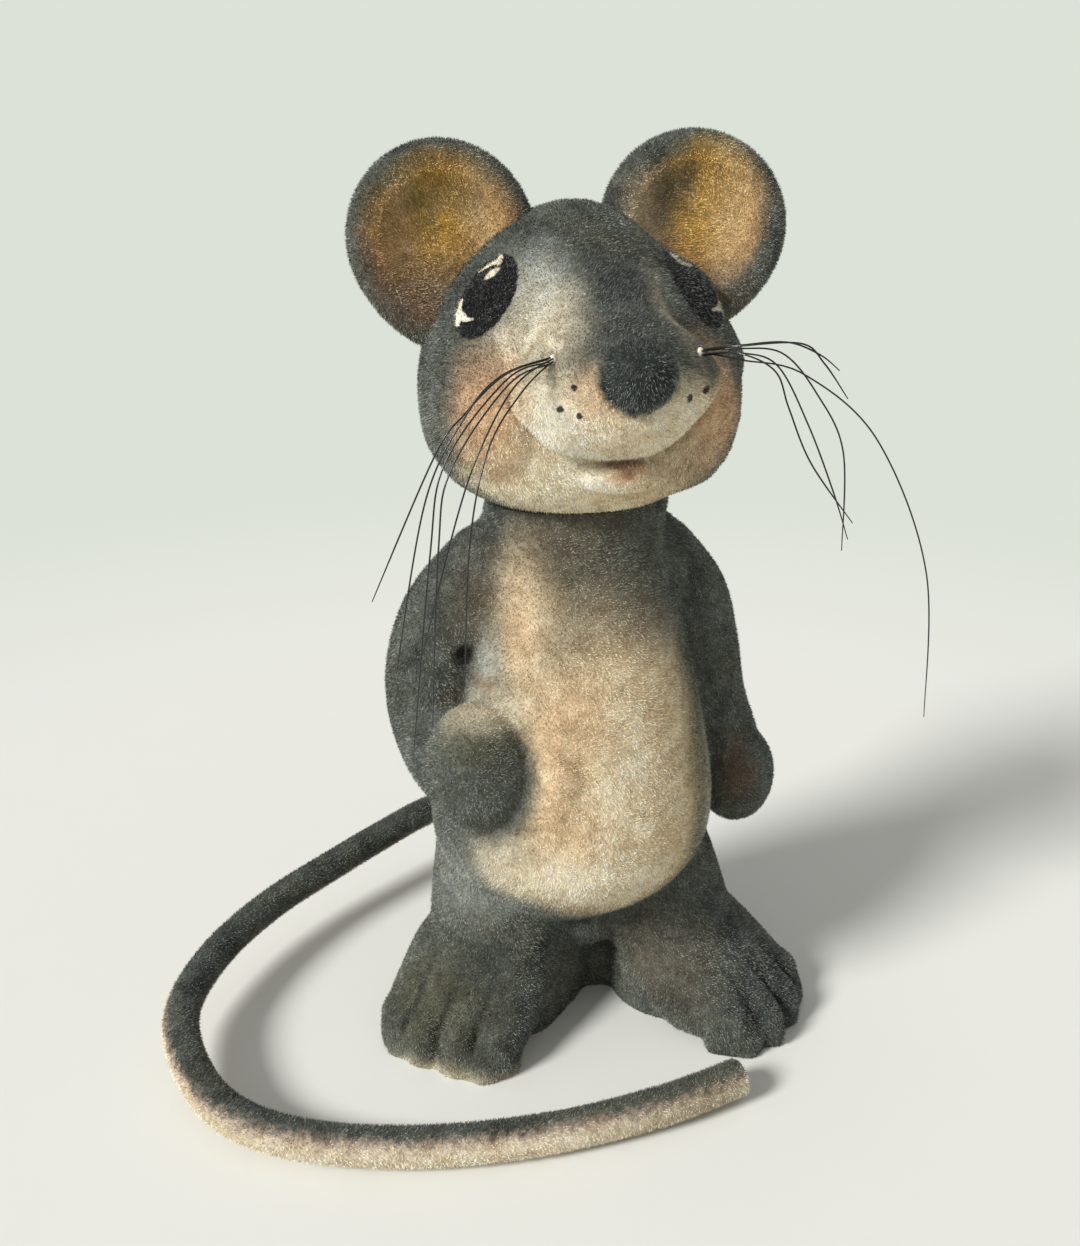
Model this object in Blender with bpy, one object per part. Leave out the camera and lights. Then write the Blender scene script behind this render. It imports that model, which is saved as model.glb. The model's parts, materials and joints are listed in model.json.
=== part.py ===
"""Flocked rat figurine, standing, with a turning head, glued ears, wired tail and nylon whiskers.

Units are metres, +Z is up, and the rat looks along -Y. Left and right are the rat's own: left is +X.
Every piece is modelled around the neck's axis, on the floor, and the whole is then centred over the origin.
"""

import math

import bmesh
import bpy
from mathutils import Matrix, Vector

MM = 0.001

# Fits
GLUE_GAP = 0.3 * MM
SEAT_GAP = 0.5 * MM
RUNNING_GAP = 0.3 * MM

# Body casting: height of its flat top, and the loft stations of the torso
BODY_TOP = 95.4 * MM
BODY_WALL = 3.6 * MM
HOLLOW_FLOOR = 36.0 * MM
HOLLOW_TOP = 82.0 * MM
BODY_BLEND = 1.2 * MM
BODY_FACETS = 4700
TORSO_STATIONS = (
    # share of the height, half width, belly, back, the last three in millimetres
    (0.212, 12.0, 8.0, 15.0),
    (0.262, 17.5, 14.0, 18.0),
    (0.313, 21.5, 19.5, 20.0),
    (0.388, 24.2, 24.0, 21.0),
    (0.480, 24.6, 24.5, 20.5),
    (0.610, 22.6, 22.0, 19.0),
    (0.740, 19.8, 19.0, 17.2),
    (0.840, 17.8, 16.6, 15.4),
    (0.920, 16.0, 14.8, 14.0),
    (0.985, 14.4, 13.4, 13.0),
    (1.030, 13.4, 12.4, 12.2),
)

# Arms: centres and radii in millimetres. Heights hang from the body's top.
RIGHT_ARM = (
    # x, y, drop below the top, radius
    (-12.5, 0.0, 12.0, 9.2),
    (-19.6, 0.0, 18.6, 8.6),
    (-23.0, -0.5, 27.0, 8.3),
    (-24.0, -2.0, 34.0, 7.4),
    (-22.5, -6.5, 39.5, 7.2),
    (-20.0, -10.0, 42.5, 7.0),
)
RIGHT_FIST_AT = (-18.6, -13.6, 39.5)
RIGHT_FIST_RADII = (9.0, 7.6, 11.2)
LEFT_ARM = (
    (13.0, 0.0, 12.0, 9.2),
    (20.0, 1.5, 19.0, 8.4),
    (23.8, 2.0, 28.0, 7.4),
    (26.3, 2.0, 38.0, 6.9),
    (29.0, 1.0, 46.0, 6.8),
)
LEFT_FIST_AT = (31.3, -0.8, 53.0)
LEFT_FIST_RADII = (7.3, 7.6, 9.6)

# Legs and feet
LEG_RADIUS = 12.8 * MM
LEG_TOP = 36.0 * MM
CROTCH_AT = (2.0, 1.0, 20.0)
CROTCH_RADII = (15.0, 10.0, 9.5)
RIGHT_LEG_AT = -10.8 * MM
LEFT_LEG_AT = 10.8 * MM
ANKLE_RADIUS = 12.0 * MM
ANKLE_HEIGHT = 12.0 * MM
ANKLE_SHARE = 0.68
FOOT_LENGTH = 36.0 * MM
FOOT_WIDTH = 26.0 * MM
INSTEP_HEIGHT = 19.5 * MM
TOE_HEIGHT = 8.8 * MM
TOES = 4
TOE_LENGTH = 15.0 * MM
TOE_CURVE = 0.9
TOE_RADIUS = 4.1 * MM
KNUCKLE_HEIGHT = 13.2 * MM
RIGHT_TOES_AT = (-28.6 * MM, -17.0 * MM)
LEFT_TOES_AT = (35.0 * MM, -22.0 * MM)
FOOT_TURN = math.radians(38.0)
SOLE_DEPTH = 3.0 * MM
HEELS_JOINED_AT = ((-10.6, -4.0), (-5.0, 1.2), (1.0, 6.6), (10.0, 5.4))
HEELS_JOINED_RADIUS = 8.0 * MM
HEELS_JOINED_HEIGHT = 20.0 * MM
FOOT_STATIONS = (
    # share of the length from the heel, half width over the foot's width, top over the instep's height
    (0.10, 0.34, 0.80),
    (0.24, 0.48, 1.10),
    (0.42, 0.55, 1.09),
    (0.60, 0.54, 0.90),
    (0.78, 0.46, 0.55),
    (0.90, 0.36, 0.30),
)

# Head casting: everything on it is measured up from its flat base
HEAD_BASE = BODY_TOP + SEAT_GAP
HEAD_WALL = 3.2 * MM
HEAD_BLEND = 1.2 * MM
HEAD_FACETS = 3100
SKULL_STATIONS = (
    # height above the base, half width, front, back, in millimetres
    (-2.0, 10.0, 10.0, 10.0),
    (1.0, 16.0, 16.0, 12.5),
    (4.0, 20.2, 19.0, 14.5),
    (9.0, 23.4, 21.0, 16.5),
    (15.0, 24.4, 22.0, 17.5),
    (21.5, 23.9, 20.5, 18.0),
    (28.5, 21.2, 16.6, 17.8),
    (34.5, 16.6, 12.6, 15.6),
    (39.5, 11.4, 8.6, 11.6),
    (42.6, 6.6, 4.8, 7.4),
    (44.0, 2.2, 1.8, 2.6),
)
SNOUT_STATIONS = (
    # y, centre height, half width, half height, in millimetres
    (-4.0, 23.0, 15.0, 17.5),
    (-12.0, 22.0, 13.0, 14.5),
    (-20.0, 20.8, 10.6, 10.8),
    (-27.0, 20.6, 8.2, 8.0),
    (-32.0, 21.0, 5.8, 5.8),
)
NOSE_RADIUS = 4.9 * MM
NOSE_AT = (0.0, -32.4, 22.2)
MUZZLE_AT = (0.0, -19.5, 19.8)
MUZZLE_RADII = (13.4, 13.0, 11.0)
CHEEK_AT = (12.6, -8.0, 14.0)
CHEEK_RADII = (11.9, 12.0, 10.0)
LIP_AT = (0.0, -21.8, 6.6)
LIP_RADII = (4.8, 3.4, 2.4)

# Ears: cupped discs glued to the sides of the head
EAR_RADIUS = 14.2 * MM
EAR_THICKNESS = 5.4 * MM
EAR_RIM = 2.6 * MM
EAR_CUP_DEPTH = 3.0 * MM
RIGHT_EAR_AT = (-19.3, 2.4, 38.2)
LEFT_EAR_AT = (19.6, 2.0, 40.2)
LEFT_EAR_STRETCH = 1.05
RIGHT_EAR_TURN = math.radians(-3.0)
LEFT_EAR_TURN = math.radians(-6.0)
EAR_LEAN = math.radians(8.0)

# Neck plug: a moulded snap that carries the head
NECK_HOLE = 8.6 * MM
PLUG_FLANGE = 11.2 * MM
PLUG_FLANGE_THICKNESS = 1.6 * MM
PLUG_WALL = 2.0 * MM
PLUG_BARB = 1.0 * MM
PLUG_BARB_LENGTH = 3.4 * MM
PLUG_SLIT = 1.2 * MM
NECK_WALL = 3.0 * MM

# Tail: a soft sleeve on a stiff wire that holds its bend
TAIL_DIAMETER = 6.6 * MM
TAIL_BORE = 2.6 * MM
TAIL_WIRE = 1.8 * MM
TAIL_ROOT_HEIGHT = 23.0 * MM
TAIL_SOCKET_DEPTH = 5.0 * MM
TAIL_WIRE_TAIL = 6.0 * MM
TAIL_TIP_PLUG = 5.0 * MM
TAIL_RINGS = 43
TAIL_ROUTE = (
    # x, y, height, in millimetres, from behind the body round the right side to the front
    (0.8, 28.0, 20.8),
    (2.0, 38.0, 17.6),
    (-2.0, 46.4, 15.8),
    (-10.0, 50.0, 14.8),
    (-19.5, 47.8, 13.9),
    (-29.5, 41.8, 13.0),
    (-41.0, 34.2, 11.8),
    (-54.0, 24.5, 10.5),
    (-64.5, 12.0, 9.2),
    (-69.4, -2.0, 7.6),
    (-64.6, -18.1, 5.4),
    (-53.9, -27.8, 4.0),
    (-35.8, -34.3, 3.5),
    (-14.4, -37.2, 3.5),
    (5.7, -36.2, 3.5),
    (20.3, -33.6, 3.8),
)

# Whiskers: nylon filaments glued in a hole on each side of the muzzle
WHISKER_DIAMETER = 0.36 * MM
WHISKER_HOLE = 1.15 * MM
WHISKER_HOLE_DEPTH = 3.0 * MM
WHISKER_RING = 0.72 * MM
WHISKER_ROOT = (10.3, -27.8, 24.4)
WHISKER_POINTS = 12
RIGHT_WHISKERS = (
    # points of each filament after its root: x, y, height above the head's base, in millimetres
    ((-16, -31, 21.5), (-21, -34.5, 15), (-24.5, -35.5, 6.5), (-29.5, -36, -11)),
    ((-17.5, -29.5, 22.5), (-22.5, -31.5, 18), (-28, -32, 7.5), (-32.5, -31, -15.5)),
    ((-17, -29, 22.5), (-22.5, -30.5, 18), (-26.5, -31, 13), (-35, -29, -6)),
    ((-17, -30, 22), (-25.5, -33, 12.5), (-28, -34.5, 1), (-31, -33.5, -26.5)),
    ((-17, -31, 21.5), (-25, -34.5, 12), (-27, -35.5, 2.5), (-28.5, -35, -22)),
    ((-15.5, -31.5, 20.5), (-20.5, -35.5, 14.5), (-23.5, -38, 3.5), (-24.5, -37.5, -15.5)),
)
LEFT_WHISKERS = (
    ((14.5, -29, 25), (19.5, -31.5, 24.5), (24, -33, 19.5), (28.5, -33.5, 11.5), (30, -33, -2.5)),
    ((14, -30, 25.5), (19.5, -32.5, 26), (23.5, -34, 24.5), (26, -35, 22.5)),
    ((13.5, -31, 25.5), (20.5, -34.5, 26), (23.5, -35.5, 23.5), (27, -36, 19)),
    ((14, -31, 24.5), (17.5, -34, 22.5), (19, -35.5, 18), (22, -37, 11), (28, -38.5, 3)),
    ((14.5, -30, 24.5), (18.5, -32.5, 23), (22.5, -34.5, 15.5), (26.5, -35.5, 6.5), (29, -36, 0)),
    ((15, -29, 23.5), (23.5, -30.5, 21.5), (35.5, -30.5, 12), (46, -30, -8), (49.5, -29, -32)),
)

DOME_ANGLES = (25.0, 50.0, 75.0)
SHARP_ANGLE = math.radians(40.0)

# Colours as linear red, green and blue
GREY_FLOCK = (0.035, 0.040, 0.042)
BROWN_FLOCK = (0.20, 0.11, 0.055)
BLACK_NYLON = (0.006, 0.006, 0.007)
STEEL = (0.45, 0.45, 0.46)
WHITE_PLASTIC = (0.62, 0.61, 0.58)


def clear_scene():
    """Removes whatever the file was opened with."""
    for obj in list(bpy.data.objects):
        bpy.data.objects.remove(obj, do_unlink=True)


def material(name, colour, roughness, metallic=0.0):
    """A Principled material with one colour."""
    made = bpy.data.materials.new(name)
    made.use_nodes = True
    shader = made.node_tree.nodes["Principled BSDF"]
    shader.inputs["Base Color"].default_value = (*colour, 1.0)
    shader.inputs["Roughness"].default_value = roughness
    shader.inputs["Metallic"].default_value = metallic
    made.diffuse_color = (*colour, 1.0)
    return made


def in_mm(point):
    """A point given in millimetres, in metres."""
    return Vector(point) * MM


def on_head(point):
    """A point given in millimetres above the head's base, in the object's frame."""
    return in_mm(point) + Vector((0.0, 0.0, HEAD_BASE))


def below_top(point):
    """A point whose height is given as a drop below the body's top, in millimetres."""
    return Vector((point[0] * MM, point[1] * MM, BODY_TOP - point[2] * MM))


def add_object(name, mesh, finish=None):
    """Links a mesh as a named object."""
    obj = bpy.data.objects.new(name, mesh)
    bpy.context.scene.collection.objects.link(obj)
    if finish is not None:
        mesh.materials.clear()
        mesh.materials.append(finish)
    return obj


def from_bmesh(bm, name):
    """Turns a bmesh into a mesh with its faces pointing out."""
    bmesh.ops.recalc_face_normals(bm, faces=bm.faces)
    mesh = bpy.data.meshes.new(name)
    bm.to_mesh(mesh)
    bm.free()
    return mesh


def as_guide(obj):
    """Marks an object as a cutter that is no piece of the figurine."""
    obj.hide_render = True
    obj.display_type = "WIRE"
    return obj


def smooth_through(keys, share):
    """Reads a row of key values on a smooth curve: share runs from 0 at the first key to 1 at the last."""
    place = min(max(share, 0.0), 1.0) * (len(keys) - 1)
    index = min(int(place), len(keys) - 2)
    t = place - index
    before = keys[max(index - 1, 0)]
    start, end = keys[index], keys[index + 1]
    after = keys[min(index + 2, len(keys) - 1)]
    return tuple(
        0.5 * (2 * b + (c - a) * t + (2 * a - 5 * b + 4 * c - d) * t * t + (3 * b - a - 3 * c + d) * t**3)
        for a, b, c, d in zip(before, start, end, after)
    )


def loft(bm, rings, sides):
    """Skins a closed body over rings, each given as a matrix that places a unit circle."""
    circle = [Vector((math.cos(a), math.sin(a), 0.0)) for a in (math.tau * i / sides for i in range(sides))]
    loops = [[bm.verts.new(matrix @ point) for point in circle] for matrix in rings]
    for lower, upper in zip(loops, loops[1:]):
        for i in range(sides):
            j = (i + 1) % sides
            bm.faces.new((lower[i], lower[j], upper[j], upper[i]))
    bm.faces.new(loops[0])
    bm.faces.new(loops[-1])


def upright_ring(height, half_width, front, back):
    """The matrix of a level ellipse that reaches front towards -Y and back towards +Y."""
    middle = Matrix.Translation((0.0, (back - front) / 2, height))
    return middle @ Matrix.Diagonal((half_width, (back + front) / 2, 1.0, 1.0))


def frame_along(point, direction, width, height, across=None):
    """The matrix of an ellipse square to a direction, its first axis level or close to a given one."""
    z = direction.normalized()
    x = Vector((-z.y, z.x, 0.0)) if across is None else across - z * across.dot(z)
    x = x.normalized() if x.length > 1e-6 else Vector((1.0, 0.0, 0.0))
    y = z.cross(x)
    turn = Matrix((x, y, z)).transposed().to_4x4()
    return Matrix.Translation(point) @ turn @ Matrix.Diagonal((width, height, 1.0, 1.0))


def ball(bm, centre, radii, turn=Matrix.Identity(4)):
    """An ellipsoid."""
    matrix = Matrix.Translation(centre) @ turn @ Matrix.Diagonal((*radii, 1.0))
    bmesh.ops.create_uvsphere(bm, u_segments=24, v_segments=16, radius=1.0, matrix=matrix)


def dome(end, inner, radius):
    """Points and radii of the rings that round off the end of a roll, outwards from the end."""
    outward = (end - inner).normalized()
    angles = [math.radians(a) for a in DOME_ANGLES]
    return [(end + outward * radius * math.sin(a), radius * math.cos(a)) for a in angles]


def roll(bm, points, radii, sides=20):
    """A round roll along points, with a dome over each end."""
    start = dome(points[0], points[1], radii[0])
    finish = dome(points[-1], points[-2], radii[-1])
    line = start[::-1] + list(zip(points, radii)) + finish
    loft(bm, rings_along([p for p, _ in line], [r for _, r in line]), sides)


def arm(bm, keys, rings=14):
    """An arm through key points with radii."""
    samples = [smooth_through(keys, i / (rings - 1)) for i in range(rings)]
    roll(bm, [below_top(s[:3]) for s in samples], [s[3] * MM for s in samples])


def triangle_count(mesh):
    """How many triangles a mesh has once its faces are split."""
    return sum(len(p.vertices) - 2 for p in mesh.polygons)


def evaluated(obj, name):
    """The object's mesh with its modifiers applied."""
    graph = bpy.context.evaluated_depsgraph_get()
    mesh = bpy.data.meshes.new_from_object(obj.evaluated_get(graph))
    mesh.name = name
    return mesh


def blended(name, bm, voxel, smoothing, facets):
    """Melts overlapping lumps into one sculpted skin with about the given number of facets."""
    lumps = add_object(name + "_lumps", from_bmesh(bm, name + "_lumps"))
    remesh = lumps.modifiers.new("skin", "REMESH")
    remesh.mode = "VOXEL"
    remesh.voxel_size = voxel
    smooth = lumps.modifiers.new("soften", "SMOOTH")
    smooth.factor = 0.5
    smooth.iterations = smoothing
    dense = evaluated(lumps, name)
    thin = lumps.modifiers.new("thin", "DECIMATE")
    thin.ratio = min(1.0, facets / triangle_count(dense))
    mesh = evaluated(lumps, name)
    bpy.data.objects.remove(lumps)
    return mesh


def sliced(mesh, height, keep_above):
    """Cuts a mesh by a level plane, keeps one side and closes the cut with a flat face."""
    bm = bmesh.new()
    bm.from_mesh(mesh)
    everything = bm.verts[:] + bm.edges[:] + bm.faces[:]
    cut = bmesh.ops.bisect_plane(
        bm,
        geom=everything,
        dist=1e-7,
        plane_co=(0.0, 0.0, height),
        plane_no=(0.0, 0.0, 1.0),
        clear_outer=not keep_above,
        clear_inner=keep_above,
    )
    rim = [e for e in cut["geom_cut"] if isinstance(e, bmesh.types.BMEdge)]
    bmesh.ops.holes_fill(bm, edges=[e for e in rim if e.is_boundary], sides=0)
    bmesh.ops.triangulate(bm, faces=[f for f in bm.faces if len(f.verts) > 4])
    return from_bmesh(bm, mesh.name)


def cut_by(obj, cutter):
    """Takes a cutter's shape, which stays hidden, out of an object."""
    boolean = obj.modifiers.new(cutter.name, "BOOLEAN")
    boolean.operation = "DIFFERENCE"
    boolean.solver = "EXACT"
    boolean.object = as_guide(cutter)


def cylinder(name, start, end, radius, sides=32):
    """A round cutter between two points."""
    bm = bmesh.new()
    axis = end - start
    place = frame_along((start + end) / 2, axis, 1.0, 1.0)
    bmesh.ops.create_cone(
        bm, cap_ends=True, segments=sides, radius1=radius, radius2=radius, depth=axis.length, matrix=place
    )
    return add_object(name, from_bmesh(bm, name))


def torso_ring(share, inset=0.0):
    """The torso's section at a share of the table, drawn in by an inset."""
    height, half_width, front, back = smooth_through(TORSO_STATIONS, share)
    return upright_ring(
        height * BODY_TOP, half_width * MM - inset, front * MM - inset, back * MM - inset
    )


def torso_share(height):
    """The share of the table at which the torso passes a height."""
    low, high = 0.0, 1.0
    while high - low > 1e-4:
        middle = (low + high) / 2
        below = smooth_through(TORSO_STATIONS, middle)[0] * BODY_TOP < height
        low, high = (middle, high) if below else (low, middle)
    return low


def foot_frame(toes_at, side):
    """The matrix of a foot: +Y runs from the heel to the middle of the toe line, at the floor."""
    turn = Matrix.Rotation(math.pi + side * FOOT_TURN, 4, "Z")
    return Matrix.Translation((*toes_at, 0.0)) @ turn


def add_foot(bm, toes_at, side):
    """A wedge from heel to instep to toes, with the toes as long rounded rolls side by side."""
    place = foot_frame(toes_at, side)
    ahead = place.to_3x3() @ Vector((0.0, 1.0, 0.0))
    rings = []
    for share, half_width, height in FOOT_STATIONS:
        top = height * INSTEP_HEIGHT
        middle = (top - SOLE_DEPTH) / 2
        point = place @ Vector((0.0, (share - 1.0) * FOOT_LENGTH, middle))
        rings.append(frame_along(point, ahead, half_width * FOOT_WIDTH, top - middle))
    loft(bm, rings, 24)
    width = FOOT_WIDTH / TOES
    for toe in range(TOES):
        offset = (toe - (TOES - 1) / 2) * width
        set_back = TOE_RADIUS + TOE_CURVE * offset**2 / FOOT_WIDTH
        tip = place @ Vector((offset, -set_back, TOE_HEIGHT - TOE_RADIUS))
        knuckle = place @ Vector((offset * 0.85, -set_back - TOE_LENGTH, KNUCKLE_HEIGHT - TOE_RADIUS))
        under = Vector((tip.x, tip.y, 0.0))
        roll(bm, [knuckle, tip], [TOE_RADIUS, TOE_RADIUS])
        roll(bm, [tip, under], [TOE_RADIUS, TOE_RADIUS])


def add_leg(bm, leg_at, toes_at, side):
    """A short stout leg from inside the belly down to the heel."""
    heel = foot_frame(toes_at, side) @ Vector((0.0, -FOOT_LENGTH * ANKLE_SHARE, 0.0))
    hip = Vector((leg_at, 0.0, LEG_TOP))
    ankle = Vector((heel.x, heel.y, ANKLE_HEIGHT))
    sole = Vector((heel.x, heel.y, 0.0))
    roll(bm, [hip, hip.lerp(ankle, 0.5), ankle, sole], [LEG_RADIUS, LEG_RADIUS, ANKLE_RADIUS, ANKLE_RADIUS])


def build_body(finish):
    """The body casting: torso, arms, legs and feet in one hollow shell, open at the neck."""
    bm = bmesh.new()
    loft(bm, [torso_ring(i / 23) for i in range(24)], 40)
    arm(bm, RIGHT_ARM)
    ball(bm, below_top(RIGHT_FIST_AT), in_mm(RIGHT_FIST_RADII))
    arm(bm, LEFT_ARM)
    ball(bm, below_top(LEFT_FIST_AT), in_mm(LEFT_FIST_RADII))
    for side, leg, toes in ((-1, RIGHT_LEG_AT, RIGHT_TOES_AT), (1, LEFT_LEG_AT, LEFT_TOES_AT)):
        add_leg(bm, leg, toes, side)
        add_foot(bm, toes, side)
    ball(bm, in_mm(CROTCH_AT), in_mm(CROTCH_RADII))
    for i in range(7):
        foot = in_mm((*smooth_through(HEELS_JOINED_AT, i / 6), 0.0))
        roll(bm, [foot, foot + Vector((0.0, 0.0, HEELS_JOINED_HEIGHT))], [HEELS_JOINED_RADIUS] * 2)
    skin = blended("body_shell", bm, BODY_BLEND, 5, BODY_FACETS)
    skin = sliced(skin, 0.0, keep_above=True)
    skin = sliced(skin, BODY_TOP, keep_above=False)
    body = add_object("body_shell", skin, finish)

    hollow = bmesh.new()
    first, last = torso_share(HOLLOW_FLOOR), torso_share(HOLLOW_TOP)
    rings = [torso_ring(first + (last - first) * i / 9, BODY_WALL) for i in range(10)]
    ceiling = BODY_TOP - NECK_WALL
    rings.append(upright_ring(ceiling, *([NECK_HOLE + PLUG_WALL] * 3)))
    loft(hollow, rings, 20)
    cut_by(body, add_object("body_hollow", from_bmesh(hollow, "body_hollow")))
    neck = cylinder(
        "body_neck_hole",
        Vector((0.0, 0.0, ceiling - NECK_WALL)),
        Vector((0.0, 0.0, BODY_TOP + NECK_WALL)),
        NECK_HOLE,
    )
    cut_by(body, neck)
    return body


def tail_points():
    """The tail's centre line: from the bottom of its socket, square to the back, then along its route."""
    mouth = smooth_through(TORSO_STATIONS, torso_share(TAIL_ROOT_HEIGHT))[3] * MM
    root = Vector((0.0, mouth - TAIL_SOCKET_DEPTH, TAIL_ROOT_HEIGHT))
    straight = Vector((0.0, mouth, TAIL_ROOT_HEIGHT))
    return [root, straight] + [in_mm(p) for p in TAIL_ROUTE]


def spaced(points, count):
    """Points at even distances along a smooth curve through the given ones."""
    fine = [Vector(smooth_through([tuple(p) for p in points], i / 400)) for i in range(401)]
    lengths = [0.0]
    for a, b in zip(fine, fine[1:]):
        lengths.append(lengths[-1] + (b - a).length)
    result, at = [], 0
    for i in range(count):
        wanted = lengths[-1] * i / (count - 1)
        while at < len(fine) - 2 and lengths[at + 1] < wanted:
            at += 1
        step = lengths[at + 1] - lengths[at]
        share = (wanted - lengths[at]) / step if step > 0 else 0.0
        result.append(fine[at].lerp(fine[at + 1], min(share, 1.0)))
    return result


def rings_along(points, radii):
    """The matrices of round rings square to a line of points, with no twist from one to the next."""
    matrices = []
    across = (points[1] - points[0]).orthogonal()
    for i, (point, radius) in enumerate(zip(points, radii)):
        ahead = points[min(i + 1, len(points) - 1)] - points[max(i - 1, 0)]
        ring = frame_along(point, ahead, radius, radius, across)
        across = ring.col[0].to_3d()
        matrices.append(ring)
    return matrices


def build_tail(body, sleeve_finish, wire_finish):
    """The tail: a sleeve closed at its tip, pushed into a socket in the body, over a bent wire."""
    line = spaced(tail_points(), TAIL_RINGS)
    outer = [TAIL_DIAMETER / 2] * len(line)
    outer[-1] *= 0.86
    back_end = len(line) - 1 - max(1, round(TAIL_TIP_PLUG / (line[1] - line[0]).length))
    sleeve = bmesh.new()
    inside = list(reversed(rings_along(line, [TAIL_BORE / 2] * len(line))[: back_end + 1]))
    loft(sleeve, inside + rings_along(line, outer), 10)
    sleeve = add_object("tail_sleeve", from_bmesh(sleeve, "tail_sleeve"), sleeve_finish)

    root, ahead = line[0], (line[1] - line[0]).normalized()
    wire = bmesh.new()
    core = [root - ahead * TAIL_WIRE_TAIL] + line[:back_end]
    loft(wire, rings_along(core, [TAIL_WIRE / 2] * len(core)), 8)
    wire = add_object("tail_wire", from_bmesh(wire, "tail_wire"), wire_finish)

    socket = cylinder(
        "tail_socket",
        root - ahead * GLUE_GAP,
        root + ahead * TAIL_SOCKET_DEPTH * 3,
        TAIL_DIAMETER / 2 + GLUE_GAP,
    )
    cut_by(body, socket)
    wire_hole = cylinder(
        "tail_wire_hole",
        root - ahead * (TAIL_WIRE_TAIL + GLUE_GAP),
        root + ahead * TAIL_SOCKET_DEPTH,
        TAIL_WIRE / 2 + GLUE_GAP,
        16,
    )
    cut_by(body, wire_hole)
    return sleeve, wire


def head_form():
    """The sculpted outside of the head, cut flat where it sits over the neck."""
    bm = bmesh.new()
    skull = [smooth_through(SKULL_STATIONS, i / 21) for i in range(22)]
    loft(bm, [upright_ring(HEAD_BASE + h * MM, w * MM, f * MM, b * MM) for h, w, f, b in skull], 40)
    snout = [smooth_through(SNOUT_STATIONS, i / 11) for i in range(12)]
    forward = Vector((0.0, -1.0, 0.0))
    loft(bm, [frame_along(on_head((0.0, y, h)), forward, w * MM, t * MM) for y, h, w, t in snout], 32)
    ball(bm, on_head(NOSE_AT), (NOSE_RADIUS, NOSE_RADIUS * 0.9, NOSE_RADIUS * 0.95))
    ball(bm, on_head(MUZZLE_AT), in_mm(MUZZLE_RADII))
    ball(bm, on_head(LIP_AT), in_mm(LIP_RADII))
    for side in (-1, 1):
        ball(bm, on_head((side * CHEEK_AT[0], *CHEEK_AT[1:])), in_mm(CHEEK_RADII))
    skin = blended("head_shell", bm, HEAD_BLEND, 4, HEAD_FACETS)
    return sliced(skin, HEAD_BASE, keep_above=True)


def build_head(finish):
    """The head casting: a hollow shell with a hole for the neck plug."""
    head = add_object("head_shell", head_form(), finish)
    hollow = bmesh.new()
    floor = HEAD_BASE + NECK_WALL
    kept = [s for s in SKULL_STATIONS if s[0] * MM > NECK_WALL + HEAD_WALL and s[0] < 40.0]
    rings = [upright_ring(floor, *([PLUG_FLANGE + RUNNING_GAP] * 3))]
    for height, half_width, front, back in kept:
        reach = [size * MM - HEAD_WALL for size in (half_width, front, back)]
        rings.append(upright_ring(HEAD_BASE + height * MM, *reach))
    loft(hollow, rings, 20)
    cut_by(head, add_object("head_hollow", from_bmesh(hollow, "head_hollow")))
    neck = cylinder(
        "head_neck_hole",
        Vector((0.0, 0.0, HEAD_BASE - NECK_WALL)),
        Vector((0.0, 0.0, floor + NECK_WALL / 2)),
        NECK_HOLE,
    )
    cut_by(head, neck)
    return head


def ear_profile():
    """The half section of a cupped disc: the cup from its middle, the rim, the back to its middle."""
    half = EAR_THICKNESS / 2
    cup = half - EAR_CUP_DEPTH
    rim_start = EAR_RADIUS - EAR_RIM * 1.6
    points = [(0.0, cup)]
    points += [(rim_start * s, cup + (half - cup) * s**3) for s in (0.35, 0.6, 0.8, 0.93)]
    for i in range(7):
        angle = math.pi / 2 - math.pi * i / 6
        points.append((EAR_RADIUS - half + half * math.cos(angle), half * math.sin(angle)))
    points += [(EAR_RADIUS * 0.6, -half * 1.05), (EAR_RADIUS * 0.3, -half * 1.1), (0.0, -half * 1.12)]
    return points


def ear_frame(side):
    """The matrix of an ear: its cup looks along its own +Z, which faces forward."""
    at, turn, stretch = RIGHT_EAR_AT, RIGHT_EAR_TURN, 1.0
    if side > 0:
        at, turn, stretch = LEFT_EAR_AT, LEFT_EAR_TURN, LEFT_EAR_STRETCH
    face = Matrix.Rotation(turn, 4, "Z") @ Matrix.Rotation(math.pi / 2 - EAR_LEAN, 4, "X")
    return Matrix.Translation(on_head(at)) @ face @ Matrix.Diagonal((stretch, 1.0, 1.0, 1.0))


def build_ear(side, form, finish):
    """A cupped ear whose root is trimmed to the curve of the head."""
    bm = bmesh.new()
    verts = [bm.verts.new((x, 0.0, z)) for x, z in ear_profile()]
    edges = [bm.edges.new(pair) for pair in zip(verts, verts[1:])]
    bmesh.ops.spin(
        bm, geom=verts + edges, cent=(0, 0, 0), axis=(0, 0, 1), angle=math.tau, steps=36, use_merge=True
    )
    bmesh.ops.remove_doubles(bm, verts=bm.verts, dist=1e-6)
    bmesh.ops.recalc_face_normals(bm, faces=bm.faces)
    for vert in bm.verts:
        drop = max(0.0, -vert.co.y / EAR_RADIUS)
        vert.co.y -= EAR_RADIUS * 0.16 * drop**2
        vert.co.x -= side * EAR_RADIUS * 0.10 * drop**2
    bm.transform(ear_frame(side))
    name = "ear_left" if side > 0 else "ear_right"
    ear = add_object(name, from_bmesh(bm, name), finish)
    seat = add_object(name + "_seat", form.copy())
    swell = seat.modifiers.new("clearance", "DISPLACE")
    swell.strength = GLUE_GAP
    swell.mid_level = 0.0
    cut_by(ear, seat)
    return ear


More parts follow.
